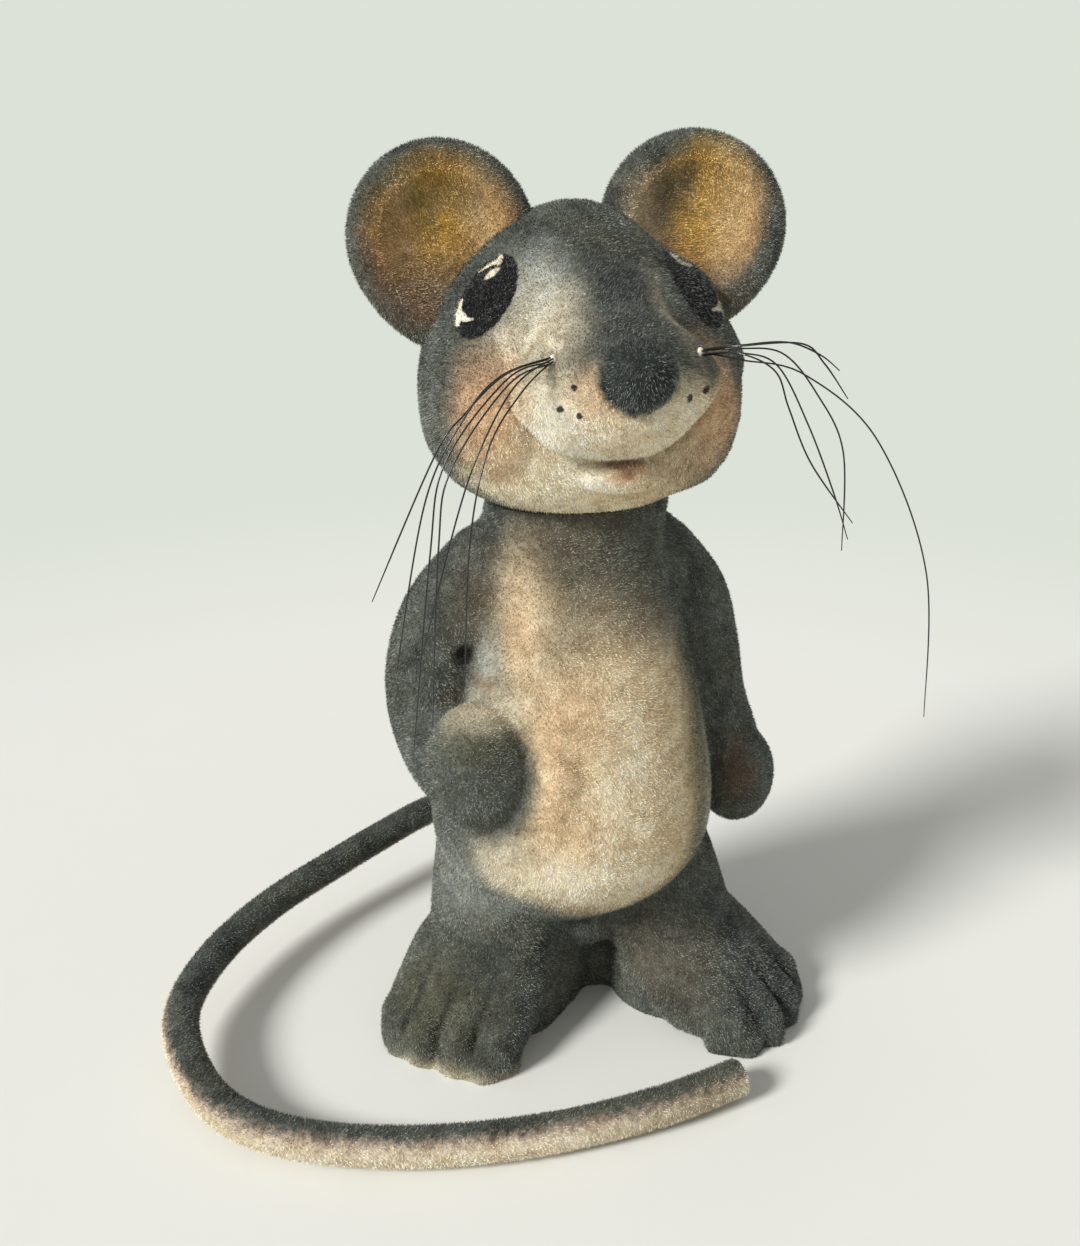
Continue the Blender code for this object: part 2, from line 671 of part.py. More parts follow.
def build_plug(finish):
    """The neck plug: a turned flange and shank with four sprung barbs that snap under the body's top."""
    flange_under = HEAD_BASE + NECK_WALL + GLUE_GAP
    shank = NECK_HOLE - RUNNING_GAP
    barb_top = BODY_TOP - NECK_WALL - RUNNING_GAP
    bore = shank - PLUG_WALL
    profile = (
        (bore, flange_under + PLUG_FLANGE_THICKNESS),
        (PLUG_FLANGE, flange_under + PLUG_FLANGE_THICKNESS),
        (PLUG_FLANGE, flange_under),
        (shank, flange_under),
        (shank, barb_top),
        (shank + PLUG_BARB, barb_top),
        (shank + PLUG_BARB, barb_top - PLUG_BARB),
        (shank - PLUG_WALL * 0.4, barb_top - PLUG_BARB_LENGTH),
        (bore, barb_top - PLUG_BARB_LENGTH),
    )
    bm = bmesh.new()
    verts = [bm.verts.new((r, 0.0, z)) for r, z in profile]
    edges = [bm.edges.new(pair) for pair in zip(verts, verts[1:] + verts[:1])]
    bmesh.ops.spin(
        bm, geom=verts + edges, cent=(0, 0, 0), axis=(0, 0, 1), angle=math.tau, steps=32, use_merge=True
    )
    bmesh.ops.remove_doubles(bm, verts=bm.verts, dist=1e-6)
    plug = add_object("neck_plug", from_bmesh(bm, "neck_plug"), finish)
    slit_top = BODY_TOP - NECK_WALL / 2
    slit_foot = barb_top - PLUG_BARB_LENGTH - PLUG_BARB
    for index in range(2):
        slit = bmesh.new()
        bmesh.ops.create_cube(slit, size=1.0)
        reach = 4 * PLUG_FLANGE
        bmesh.ops.scale(slit, vec=(reach, PLUG_SLIT, slit_top - slit_foot), verts=slit.verts)
        bmesh.ops.translate(slit, vec=(0.0, 0.0, (slit_top + slit_foot) / 2), verts=slit.verts)
        turn = Matrix.Rotation(math.radians(45 + 90 * index), 4, "Z")
        slit.transform(turn)
        cut_by(plug, add_object(f"plug_slit_{index}", from_bmesh(slit, "plug_slit")))
    return plug


def build_whiskers(head, side, routes, finish):
    """Six nylon filaments set in one hole in the muzzle."""
    word = "left" if side > 0 else "right"
    mouth = on_head((side * WHISKER_ROOT[0], *WHISKER_ROOT[1:]))
    outward = Vector((side * 0.82, -0.55, 0.12)).normalized()
    bottom = mouth - outward * WHISKER_HOLE_DEPTH
    clear = mouth + outward * WHISKER_HOLE_DEPTH
    cut_by(head, cylinder(f"whisker_hole_{word}", bottom, clear, WHISKER_HOLE, 20))
    across = frame_along(Vector(), outward, 1.0, 1.0).to_3x3()
    for index, route in enumerate(routes):
        angle = math.tau * (index + 0.5) / len(routes)
        shift = across @ Vector((math.cos(angle), math.sin(angle), 0.0)) * WHISKER_RING
        inner = bottom + outward * GLUE_GAP + shift
        keys = [inner, mouth + shift + outward * GLUE_GAP] + [on_head(p) for p in route]
        points = spaced(keys, WHISKER_POINTS)
        bm = bmesh.new()
        loft(bm, rings_along(points, [WHISKER_DIAMETER / 2] * WHISKER_POINTS), 4)
        name = f"whisker_{word}_{index + 1}"
        add_object(name, from_bmesh(bm, name), finish)


def settle_cuts():
    """Applies every cut to its piece, removes the cutters and shades the pieces smooth with sharp edges."""
    pieces = [obj for obj in bpy.context.scene.objects if not obj.hide_render]
    for obj in pieces:
        cut = evaluated(obj, obj.name)
        obj.modifiers.clear()
        obj.data = cut
        cut.shade_smooth()
        cut.set_sharp_from_angle(angle=SHARP_ANGLE)
    for obj in [obj for obj in bpy.context.scene.objects if obj.hide_render]:
        bpy.data.objects.remove(obj)


def centre_on_origin():
    """Centres the figurine's box over the origin, with each object's own origin left on the neck's axis."""
    corners = [vert.co for obj in bpy.context.scene.objects for vert in obj.data.vertices]
    middle = [(min(c[i] for c in corners) + max(c[i] for c in corners)) / 2 for i in range(2)]
    for obj in bpy.context.scene.objects:
        obj.location = (-middle[0], -middle[1], 0.0)
    print(f"The neck's axis stands at {-middle[0] / MM:.3f}, {-middle[1] / MM:.3f} mm")


def main():
    """Builds every piece of the figurine."""
    clear_scene()
    grey = material("grey_flock", GREY_FLOCK, 0.95)
    brown = material("brown_flock", BROWN_FLOCK, 0.95)
    nylon = material("black_nylon", BLACK_NYLON, 0.3)
    steel = material("steel_wire", STEEL, 0.35, 1.0)
    white = material("white_plastic", WHITE_PLASTIC, 0.5)

    body = build_body(grey)
    build_tail(body, grey, steel)
    head = build_head(grey)
    for side, routes in ((-1, RIGHT_WHISKERS), (1, LEFT_WHISKERS)):
        build_ear(side, head.data, brown)
        build_whiskers(head, side, routes, nylon)
    build_plug(white)
    settle_cuts()
    centre_on_origin()


main()
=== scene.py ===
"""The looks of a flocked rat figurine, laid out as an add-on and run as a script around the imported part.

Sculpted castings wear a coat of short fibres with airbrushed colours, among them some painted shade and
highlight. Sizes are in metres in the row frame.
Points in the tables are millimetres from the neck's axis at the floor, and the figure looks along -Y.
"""

import json
import math

import bmesh
import bpy
import numpy as np
from mathutils import Euler, Matrix, Vector


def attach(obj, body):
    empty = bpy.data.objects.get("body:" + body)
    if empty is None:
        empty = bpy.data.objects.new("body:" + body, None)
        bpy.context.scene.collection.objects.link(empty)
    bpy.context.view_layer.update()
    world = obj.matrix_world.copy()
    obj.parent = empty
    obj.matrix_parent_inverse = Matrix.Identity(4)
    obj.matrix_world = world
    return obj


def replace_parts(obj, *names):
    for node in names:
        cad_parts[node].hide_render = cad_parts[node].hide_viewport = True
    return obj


bl_info = {
    "name": "Flocked Rat Figurine",
    "version": (1, 0, 0),
    "blender": (4, 5, 0),
    "location": "View3D > Sidebar > Figurine",
    "description": "Builds a flocked rat figurine around its packed part",
    "category": "Object",
}

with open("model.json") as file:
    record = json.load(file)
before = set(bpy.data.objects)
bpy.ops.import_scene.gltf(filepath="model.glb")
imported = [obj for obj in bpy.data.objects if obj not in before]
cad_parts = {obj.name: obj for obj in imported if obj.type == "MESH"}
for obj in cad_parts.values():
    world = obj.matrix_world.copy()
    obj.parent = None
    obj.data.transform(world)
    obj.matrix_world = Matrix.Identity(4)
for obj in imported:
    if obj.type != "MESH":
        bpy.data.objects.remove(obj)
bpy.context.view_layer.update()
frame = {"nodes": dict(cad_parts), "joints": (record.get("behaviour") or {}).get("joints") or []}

MM = 0.001
PICTURE_WIDTH, PICTURE_HEIGHT = 1080, 1246
FINE_STEPS = 600
FIGURE, HEAD = "figure", "head"
SHOULDER_HEIGHT = 95.4
HEAD_BASE = 95.9
NECK_HOLE = 8.6
NECK_WALL = 3.0
HEAD_CAVITY = 12.5
PILE = 0.4
AXIS = Vector((*frame["joints"][0]["pos_m"][:2], 0.0))

# Torso: height, half width, belly, back
TORSO = (
    (20.2, 12.0, 8.0, 15.0),
    (25.0, 17.5, 14.0, 18.0),
    (29.9, 21.5, 19.5, 20.0),
    (37.0, 24.2, 24.0, 21.0),
    (45.8, 24.6, 24.5, 20.5),
    (58.2, 22.6, 22.0, 19.0),
    (70.6, 19.8, 19.0, 17.2),
    (80.1, 17.8, 16.6, 15.4),
    (87.8, 16.0, 14.8, 14.0),
    (94.0, 14.4, 13.4, 13.0),
    (98.3, 13.4, 12.4, 12.2),
)

# Arms: x, y, height, radius
RIGHT_ARM = (
    (-12.5, 0.0, 83.4, 9.2),
    (-19.6, 0.0, 76.8, 8.6),
    (-23.0, -0.5, 68.4, 8.3),
    (-24.0, -2.0, 61.4, 7.4),
    (-22.5, -6.5, 55.9, 7.2),
    (-20.0, -10.0, 52.9, 7.0),
)
LEFT_ARM = (
    (13.0, 0.0, 83.4, 9.2),
    (20.0, 1.5, 76.4, 8.4),
    (23.8, 2.0, 67.4, 7.4),
    (26.3, 2.0, 57.4, 6.9),
    (29.0, 1.0, 49.4, 6.8),
)
# Fists and the flesh between the legs: centre, radii
BODY_BALLS = (
    ((-18.6, -13.6, 55.9), (9.0, 7.6, 11.2)),
    ((31.3, -0.8, 42.4), (7.3, 7.6, 9.6)),
    ((2.0, 1.0, 20.0), (15.0, 10.0, 9.5)),
)

# Legs: x of the hip, x and y of the middle of the toe line, side
LEGS = ((-10.8, -28.6, -17.0, -1), (10.8, 35.0, -22.0, 1))
HEELS_JOINED_AT = ((-10.6, -4.0), (-5.0, 1.2), (1.0, 6.6), (10.0, 5.4))
HEELS_JOINED_RADIUS = 8.0
HEELS_JOINED_HEIGHT = 20.0
LEG_RADIUS = 12.8
LEG_TOP = 36.0
ANKLE_RADIUS = 12.0
ANKLE_HEIGHT = 12.0
ANKLE_SHARE = 0.68
FOOT_LENGTH = 36.0
FOOT_WIDTH = 26.0
INSTEP_HEIGHT = 19.5
FOOT_TURN = math.radians(38.0)
TOES = 4
TOE_HEIGHT = 8.8
TOE_LENGTH = 15.0
TOE_RADIUS = 3.9
TOE_CURVE = 0.9
KNUCKLE_HEIGHT = 13.2
SOLE_DEPTH = 3.0
# Groove between two toes: how far ahead of the toe line, and how high
TOE_GROOVE = (
    (-TOE_LENGTH - 3.0, 13.6),
    (-TOE_LENGTH, 11.8),
    (-8.0, 9.4),
    (-3.4, 7.4),
    (-1.4, 4.4),
    (-1.2, 1.0),
)
# Foot: share of the length from the heel, half width over the foot's width, top over the instep's height
FOOT = (
    (0.10, 0.34, 0.80),
    (0.24, 0.48, 1.10),
    (0.42, 0.55, 1.09),
    (0.60, 0.545, 0.90),
    (0.78, 0.525, 0.62),
    (0.90, 0.48, 0.42),
    (0.97, 0.37, 0.24),
)

# Head: height above its base, half width, front, back
SKULL = (
    (-2.0, 10.0, 10.0, 10.0),
    (1.0, 16.0, 16.0, 12.5),
    (4.0, 20.2, 19.0, 14.5),
    (9.0, 23.4, 21.0, 16.5),
    (15.0, 24.4, 22.0, 17.5),
    (21.5, 23.9, 20.5, 18.0),
    (28.5, 21.2, 16.6, 17.8),
    (34.5, 16.6, 12.6, 15.6),
    (39.5, 11.4, 8.6, 11.6),
    (42.6, 6.6, 4.8, 7.4),
    (44.0, 2.2, 1.8, 2.6),
)
# Snout: y, height above the base, half width, half height
SNOUT = (
    (-4.0, 23.0, 15.0, 17.5),
    (-12.0, 22.0, 13.0, 14.5),
    (-20.0, 20.8, 10.6, 10.8),
    (-27.0, 20.6, 8.2, 8.0),
    (-32.0, 21.0, 5.8, 5.8),
)
# Nose, muzzle, lower lip and cheeks: centre above the base, radii
HEAD_BALLS = (
    ((0.0, -32.4, 22.2), (4.9, 4.4, 4.7)),
    ((0.0, -19.5, 19.8), (13.4, 13.0, 11.0)),
    ((1.1, -22.0, 7.2), (6.3, 3.9, 2.5)),
    ((-12.6, -8.0, 14.0), (11.9, 12.0, 10.0)),
    ((12.3, -8.0, 14.2), (11.6, 12.0, 10.0)),
)
# Where the shoulder, the toes and the head are fuller or slimmer: place, radii and push
BODY_SWELLS = (
    ((14.5, 0.0, 95.5), (6.5, 10.0, 6.0), (2.3, -0.3, 0.3)),
    ((-8.3, -20.5, 56.0), (5.0, 6.0, 12.0), (0.0, -1.7, 0.0)),
    ((16.5, -17.0, 2.0), (6.0, 6.0, 6.0), (-1.1, -1.1, 0.0)),
    ((20.5, -27.0, 2.0), (5.0, 4.5, 8.0), (0.9, 1.5, 0.0)),
    ((33.5, -22.5, 2.0), (5.5, 5.0, 7.0), (0.2, -2.4, 0.0)),
    ((38.5, -19.5, 2.0), (4.5, 4.5, 6.0), (0.3, -1.7, 0.0)),
)
HEAD_SWELLS = (
    ((18.2, -3.6, 127.0), (10.0, 11.0, 11.0), (1.9, -0.7, 1.5)),
    ((23.0, -6.0, 117.5), (9.0, 12.0, 9.0), (2.4, -0.5, 0.5)),
    ((18.3, -11.5, 102.0), (9.0, 8.0, 7.0), (1.1, -0.6, -1.1)),
    ((-12.3, -22.0, 113.5), (6.0, 6.0, 8.5), (-1.9, -0.2, 0.0)),
    ((-8.5, -23.0, 108.2), (5.0, 5.0, 4.5), (-0.6, -0.3, -0.5)),
    ((13.0, -22.0, 117.0), (6.0, 7.0, 9.5), (2.1, -0.5, 0.0)),
)
# Eyes: the middle of one, its half sizes, and how much further out each side's eye lies
EYE_AT = (15.1, -8.2, 126.9)
EYE_RADII = (4.5, 6.9, 6.0)
EYE_OUTWARD = {-1: 0.0, 1: 1.5}
# Light marks in an eye: start, end and half width, as far out and up from its middle
EYE_MARKS = (
    ((0.7, 6.4), (0.3, 5.3), 0.42),
    ((0.4, 5.8), (1.9, 5.2), 0.4),
    ((1.8, 5.2), (3.3, 4.1), 0.24),
    ((0.1, 4.1), (1.1, 2.9), 0.55),
    ((4.2, -1.1), (3.7, -3.0), 0.32),
    ((3.7, -2.8), (3.0, -4.8), 0.5),
    ((3.0, -4.1), (0.6, -4.0), 0.34),
    ((3.6, -3.2), (2.1, -3.9), 0.62),
)

# Painted dots on the muzzle: centre and radii
WHISKER_DOTS = (
    ((-8.0, -29.4, 116.6), (0.4, 1.4, 0.4)),
    ((-9.4, -28.0, 113.7), (0.42, 1.4, 0.48)),
    ((-7.3, -29.4, 113.0), (0.42, 1.4, 0.4)),
    ((7.7, -29.6, 114.8), (0.6, 1.5, 0.6)),
    ((11.2, -26.6, 115.3), (0.9, 1.2, 0.55)),
)

# Creases: points along each
MUZZLE_CREASE = (
    (-13.2, -21.6, 117.2),
    (-13.6, -19.8, 115.4),
    (-13.6, -19.0, 113.6),
    (-12.7, -19.7, 111.6),
    (-11.0, -20.2, 109.5),
    (-8.7, -20.6, 107.4),
    (-5.7, -21.4, 106.1),
    (-2.2, -23.1, 105.7),
    (1.8, -23.8, 105.7),
    (5.6, -22.4, 105.6),
    (9.0, -20.4, 106.4),
    (11.6, -19.8, 108.4),
    (13.2, -19.4, 111.2),
    (14.0, -18.9, 114.0),
)
KNEE_CREASE = ((-20.5, -8.0, 22.6), (-17.0, -10.4, 20.4), (-13.0, -11.2, 18.0), (-9.6, -10.3, 16.2))
# How wide and how deep each kind of crease is, and the point inside that it is pressed towards
MUZZLE_PRESS = (1.7, 1.25)
KNEE_PRESS = (1.9, 0.9)
TOE_PRESS = (1.5, 1.1)
INSIDE_HEAD = (0.0, -8.0, 109.0)
HEAD_MIDDLE = (0.0, -6.0, 114.0)
INSIDE_KNEE = (-14.0, 2.0, 24.0)
# The hollow between the right upper arm and the chest: place, radii and push
ARM_HOLLOW = ((-19.4, -8.0, 72.6), (2.6, 6.0, 2.6), (0.0, 3.2, 0.0))

# Ears: centre, turn in degrees and width over height, then the disc
EARS = {-1: ((-19.3, 2.4, 134.1), -3.0, 1.0), 1: ((19.6, 2.0, 136.1), -6.0, 1.05)}
EAR_RADIUS = 14.2 - PILE
EAR_THICKNESS = 5.4 - 2 * PILE
EAR_RIM = 2.6
EAR_CUP = 3.0
EAR_CUP_SHARES = (0.2, 0.35, 0.5, 0.6, 0.7, 0.8, 0.87, 0.93, 0.98)
EAR_BACK_SHARES = (0.7, 0.5, 0.3)
EAR_LEAN = math.radians(8.0)

# Tail: from the socket round the right side to the front
TAIL_RADIUS = 3.3 - PILE
TAIL_POINTS = 190
TAIL_SIDES = 32
TAIL_SOCKET_END = (0.0, 17.5, 23.0)
# Middle of the tail's sweep, how far the ridge leans in and up, and the dark root's end, fade and strength
SWEEP_MIDDLE = (-20.0, 4.0, 0.0)
RIDGE_IN, RIDGE_UP = 0.5, 0.87
ROOT_END, ROOT_FADE, ROOT_DARK = 0.66, 0.2, 0.65
# Rounded tip: how far past the last point, and share of the radius
TAIL_TIP = ((0.12, 0.97), (0.28, 0.88), (0.42, 0.72))
TAIL_ROUTE = (
    (0.0, 11.5, 23.0),
    (0.0, 17.0, 23.0),
    (0.8, 28.0, 20.8),
    (2.0, 38.0, 17.6),
    (-2.0, 46.4, 15.8),
    (-10.0, 50.0, 14.8),
    (-19.5, 47.8, 13.9),
    (-29.5, 41.8, 13.0),
    (-41.0, 34.2, 11.8),
    (-54.0, 24.5, 10.5),
    (-64.5, 12.0, 9.2),
    (-69.4, -2.0, 7.6),
    (-64.6, -18.1, 5.4),
    (-53.9, -27.8, 4.0),
    (-35.8, -34.3, 3.5),
    (-14.4, -37.2, 3.5),
    (5.7, -36.2, 3.5),
    (20.3, -33.6, 3.8),
)

# Whiskers: where each side's bundle leaves the skin and which way, how far its filaments spread there, how
# deep they start, how far they run straight, and the points of each after that, heights above the head's base
WHISKER_ROOTS = {-1: (-10.2, -26.1, 23.8), 1: (10.5, -26.0, 24.3)}
WHISKERS_START = {-1: (-0.86, -0.48, -0.1), 1: (0.82, -0.55, 0.12)}
WHISKER_SPREAD = 0.38
WHISKER_DEPTH = 2.7
WHISKER_LEAD = 0.3
WHISKER_POINTS = 64
WHISKER_SIDES = 10
WHISKERS = {
    -1: (
        ((-16, -31, 21.5), (-21, -34.5, 15), (-24.5, -35.5, 6.5), (-29.5, -36, -11)),
        ((-17.5, -29.5, 22.5), (-22.5, -31.5, 18), (-28, -32, 7.5), (-32.5, -31, -15.5)),
        ((-17, -29, 22.5), (-22.5, -30.5, 18), (-26.5, -31, 13), (-35, -29, -6)),
        ((-17, -30, 22), (-25.5, -33, 12.5), (-28, -34.5, 1), (-31, -33.5, -26.5)),
        ((-17, -31, 21.5), (-25, -34.5, 12), (-27, -35.5, 2.5), (-28.5, -35, -22)),
        ((-15.5, -31.5, 20.5), (-20.5, -35.5, 14.5), (-23.5, -38, 3.5), (-24.5, -37.5, -15.5)),
    ),
    1: (
        ((14.5, -29, 25), (19.5, -31.5, 24.5), (24, -33, 19.5), (28.5, -33.5, 11.5), (30, -33, -2.5)),
        ((14, -30, 25.5), (19.5, -32.5, 26), (23.5, -34, 24.5), (26, -35, 22.5)),
        ((13.5, -31, 25.5), (20.5, -34.5, 26), (23.5, -35.5, 23.5), (27, -36, 19)),
        ((14, -31, 24.5), (17.5, -34, 22.5), (19, -35.5, 18), (22, -37, 11), (28, -38.5, 3)),
        ((14.5, -30, 24.5), (18.5, -32.5, 23), (22.5, -34.5, 15.5), (26.5, -35.5, 6.5), (29, -36, 0)),
        ((15, -29, 23.5), (23.5, -30.5, 21.5), (35.5, -30.5, 12), (46, -30, -8), (49.5, -29, -32)),
    ),
}

# Airbrushed spots, some of them painted shade or highlight, later ones on top: colour, centre, radii,
# softness, strength, and if the edge is crisp
BODY_SPOTS = (
    ("olive", (2.0, -14.0, 86.0), (11.0, 8.0, 9.0), 0.8, 0.6),
    ("brown", (-1.0, -14.0, 84.0), (7.0, 8.0, 9.0), 0.9, 0.35),
    ("tan", (3.0, -19.5, 55.0), (16.5, 15.0, 27.5), 0.3),
    ("brown", (-16.5, -10.0, 80.0), (4.5, 7.0, 9.0), 0.95, 0.5),
    ("tan", (-10.4, -14.0, 75.5), (4.6, 8.0, 10.0), 0.95, 0.85),
    ("tan", (-10.6, -10.5, 84.5), (3.0, 6.0, 6.5), 0.95, 0.5),
    ("brown", (-8.5, -12.0, 91.0), (7.0, 6.0, 5.0), 0.95, 0.45),
    ("olive", (-4.5, -16.0, 74.5), (4.5, 6.0, 4.0), 0.95, 0.3),
    ("peach", (-11.0, -13.0, 78.0), (2.6, 6.0, 8.0), 0.9, 0.3),
    ("brown", (5.0, -16.0, 79.5), (9.0, 6.0, 5.0), 0.9, 0.4),
    ("slate", (8.5, -13.0, 85.0), (7.0, 7.0, 8.5), 0.9, 0.6),
    ("peach", (-4.0, -21.0, 63.0), (6.0, 9.0, 8.0), 0.9, 0.4),
    ("peach", (-5.0, -23.0, 46.0), (6.0, 9.0, 6.0), 0.9, 0.45),
    ("peach", (5.0, -23.0, 41.0), (7.0, 9.0, 4.0), 0.9, 0.35),
    ("cream", (4.5, -22.0, 52.0), (6.0, 9.0, 14.0), 0.8, 0.55),
    ("cream", (-4.0, -22.0, 38.0), (15.0, 10.0, 5.5), 0.6, 0.9),
    ("cream", (-16.0, -17.0, 42.0), (4.0, 8.0, 5.0), 0.8, 0.5),
    # The olive band down the belly's edge at +X is painted shade on the side away from the key
    ("olive", (18.0, -13.0, 58.0), (3.0, 8.0, 20.0), 0.9, 0.5),
    ("cream", (21.5, -12.0, 48.0), (2.0, 7.0, 14.0), 0.8, 0.3),
    ("slate", (-18.8, -19.0, 55.5), (8.3, 6.5, 10.5), 0.22, 0.95),
    ("tan", (-7.6, -22.0, 57.0), (2.2, 6.0, 10.0), 0.6, 0.8),
    ("peach", (-7.4, -22.0, 58.0), (2.0, 6.0, 8.0), 0.8, 0.5),
    ("cream", (-18.0, -15.5, 65.6), (6.5, 6.0, 2.3), 0.8, 0.65),
    ("olive", (-20.0, -18.0, 62.0), (5.5, 5.0, 3.2), 0.8, 0.7),
    ("frost", (-16.6, -10.5, 72.0), (2.6, 3.0, 5.6), 0.9, 0.42),
    ("rose", (-16.4, -10.5, 68.5), (2.0, 3.0, 1.6), 0.8, 0.5),
    # The black in the hollow between the right arm and the chest is painted shade
    ("black", (-19.4, -7.2, 72.6), (0.8, 3.2, 1.2), 0.6, 0.9),
    ("frost", (-18.0, -9.0, 31.0), (9.0, 8.0, 7.0), 0.9, 0.28),
    ("olive", (-25.0, -10.0, 9.0), (10.0, 12.0, 9.0), 0.7, 0.7),
    ("dark", (-18.5, -9.0, 15.0), (3.5, 6.0, 4.5), 0.8, 0.5),
    ("cream", (-27.0, -18.5, -0.5), (14.0, 8.0, 2.6), 0.8, 0.6),
    ("brown", (13.0, -15.0, 14.0), (9.0, 9.0, 8.0), 0.7, 0.4),
    ("dark", (34.0, -20.0, 5.0), (11.0, 11.0, 8.0), 0.6, 0.6),
    ("rust", (29.5, -7.0, 46.0), (3.0, 4.0, 5.0), 0.8, 0.3),
)
HEAD_SPOTS = (
    ("tan", (0.0, -22.0, 104.5), (21.0, 17.0, 12.5), 0.25),
    ("cream", (0.0, -27.0, 110.5), (13.5, 11.0, 8.0), 0.35, 0.9),
    ("dark", (2.0, -18.0, 129.0), (5.0, 10.0, 5.5), 0.7, 0.6),
    ("white", (-8.5, -25.0, 111.5), (6.5, 6.0, 6.0), 0.6, 0.9),
    ("cream", (-11.0, -18.0, 101.0), (10.5, 10.0, 5.0), 0.7, 0.9),
    ("white", (-6.0, -24.0, 103.0), (6.5, 5.0, 3.6), 0.6, 0.8),
    ("peach", (-5.6, -31.0, 115.8), (3.6, 4.0, 3.2), 0.8, 0.5),
    ("peach", (-14.5, -17.5, 103.5), (3.6, 4.0, 2.6), 0.7, 0.35),
    ("peach", (-2.0, -31.0, 109.5), (5.0, 6.0, 3.0), 0.9, 0.3),
    ("cream", (-9.2, -17.0, 121.0), (4.8, 9.0, 8.5), 0.85, 0.8),
    ("frost", (-9.0, -13.5, 128.0), (4.5, 7.0, 6.5), 0.95, 0.5),
    ("cream", (8.8, -17.0, 122.5), (2.4, 9.0, 8.5), 0.8, 0.35),
    ("white", (-13.5, -15.2, 120.0), (0.7, 3.0, 2.8), 0.8, 0.75),
    ("white", (-9.9, -24.8, 121.6), (0.6, 2.5, 1.3), 0.8, 0.6),
    ("brown", (16.5, -17.5, 106.0), (9.0, 9.0, 9.0), 0.7, 0.45),
    ("peach", (-16.8, -17.0, 112.5), (5.0, 7.0, 7.5), 0.8, 0.75),
    ("slate", (-24.0, -7.0, 108.0), (4.0, 9.0, 12.0), 0.6, 0.85),
    ("peach", (16.8, -17.0, 112.5), (5.0, 7.0, 7.5), 0.8, 0.75),
    ("slate", (24.0, -7.0, 108.0), (4.0, 9.0, 12.0), 0.6, 0.85),
    ("peach", (1.2, -25.0, 104.4), (3.4, 3.0, 1.6), 0.7, 0.7),
    # The rust band and the thin dark line just under the muzzle's edge are partly the mouth's paint and
    # partly painted shade under the overhanging muzzle
    ("rust", (1.0, -25.0, 105.35), (5.6, 3.0, 0.6), 0.6, 0.75, True),
    ("dark", (1.6, -25.2, 105.9), (5.0, 3.0, 0.3), 0.5, 0.6, True),
    ("rust", (1.0, -25.2, 103.9), (1.0, 3.0, 0.6), 0.6, 0.6, True),
    # The small white on the lip's left is a painted highlight
    ("white", (-3.4, -24.0, 103.0), (1.7, 3.0, 1.4), 0.6, 1.0),
)
NOSE_SPOTS = (
    ("dark", (-0.2, -33.0, 118.2), (5.5, 5.6, 5.3), 0.15),
    ("dark", (0.5, -27.0, 122.5), (4.2, 6.0, 3.6), 0.8, 0.35),
)
TAIL_SPOTS = (("olive", (13.0, -36.0, 3.0), (14.0, 7.0, 7.0), 0.9, 0.4),)
# Spots inside the ears: their centres are how far left and up of the middle of the ear
EAR_SPOTS = {
    -1: (
        ("rose", (0.0, -1.0), (11.2, 2.6, 11.8), 0.26),
        ("gold", (-0.5, 2.5), (8.0, 3.0, 8.0), 0.6),
        ("olive", (-2.5, 2.5), (3.2, 3.0, 6.0), 0.9, 0.1),
        ("tan", (-6.0, 1.0), (2.4, 3.0, 6.0), 0.9, 0.4),
        ("tan", (5.5, 3.0), (3.0, 3.0, 6.0), 0.9, 0.4),
        # The brown across the bottom of the ear is painted shadow
        ("brown", (2.0, -8.0), (9.0, 3.0, 5.5), 0.9, 0.85),
    ),
    1: (
        ("rose", (0.0, -1.0), (11.2, 2.6, 11.8), 0.26),
        ("gold", (1.2, 2.5), (7.0, 3.0, 9.0), 0.6),
        ("tan", (5.0, 1.5), (4.0, 3.0, 7.0), 1.0, 0.5),
        ("tan", (-8.0, 1.0), (3.0, 3.0, 6.0), 0.9, 0.7),
        ("olive", (-5.2, 1.5), (1.5, 3.0, 7.0), 0.95, 0.22),
        ("gold", (0.6, 3.0), (2.6, 3.0, 7.0), 0.9, 0.6),
        # The brown across the bottom of the ear is painted shadow
        ("brown", (1.0, -9.5), (9.0, 3.0, 4.5), 0.8, 0.8),
    ),
}
EAR_CUP_AHEAD = 2.0
# Mottling under the spots: scale and detail of its noise, where it starts and is full, strength and colour
MOTTLING = ((85.0, 2.0, 0.48, 0.7, 0.5, "olive"), (190.0, 3.0, 0.46, 0.68, 0.75, "dark"))
# Stripes of the tail: colour, where they start and are full on the ridge, and strength
STRIPES = (("pinkish", 0.85, 0.1, 1.0), ("cream", 0.5, -0.3, 0.7))
FLOCK_OUTPUTS = (("Frost", "Float"), ("Shade", "Float"), ("Height", "Float"))
CRISP_EDGES = {"Cloud": 0.15 * MM, "Fibre": 0.45 * MM}
WORN_TINT = (0.62, 0.52, 0.4)
LIGHTEST = (0.92, 0.92, 0.92)
FLOCK_SURFACE = {
    "Roughness": 0.85,
    "Specular IOR Level": 0.25,
    "Sheen Weight": 0.15,
    "Sheen Roughness": 0.4,
}
FLOOR_SURFACE = {"Roughness": 0.75, "Specular IOR Level": 0.2}

# Camera and key light
CAMERA_AT = (-46.0, -163.7, 135.5)
CAMERA_TURN = (math.radians(70.0), 0.0, math.radians(-14.0))
SENSOR_WIDTH = 36.0
KEY_FROM = (-0.86, -0.33, 0.62)


def tint(red, green, blue):
    """A colour given as 0 to 255 the way a screen shows it, in linear light."""
    shown = [channel / 255 for channel in (red, green, blue)]
    return tuple(c / 12.92 if c <= 0.04045 else ((c + 0.055) / 1.055) ** 2.4 for c in shown)


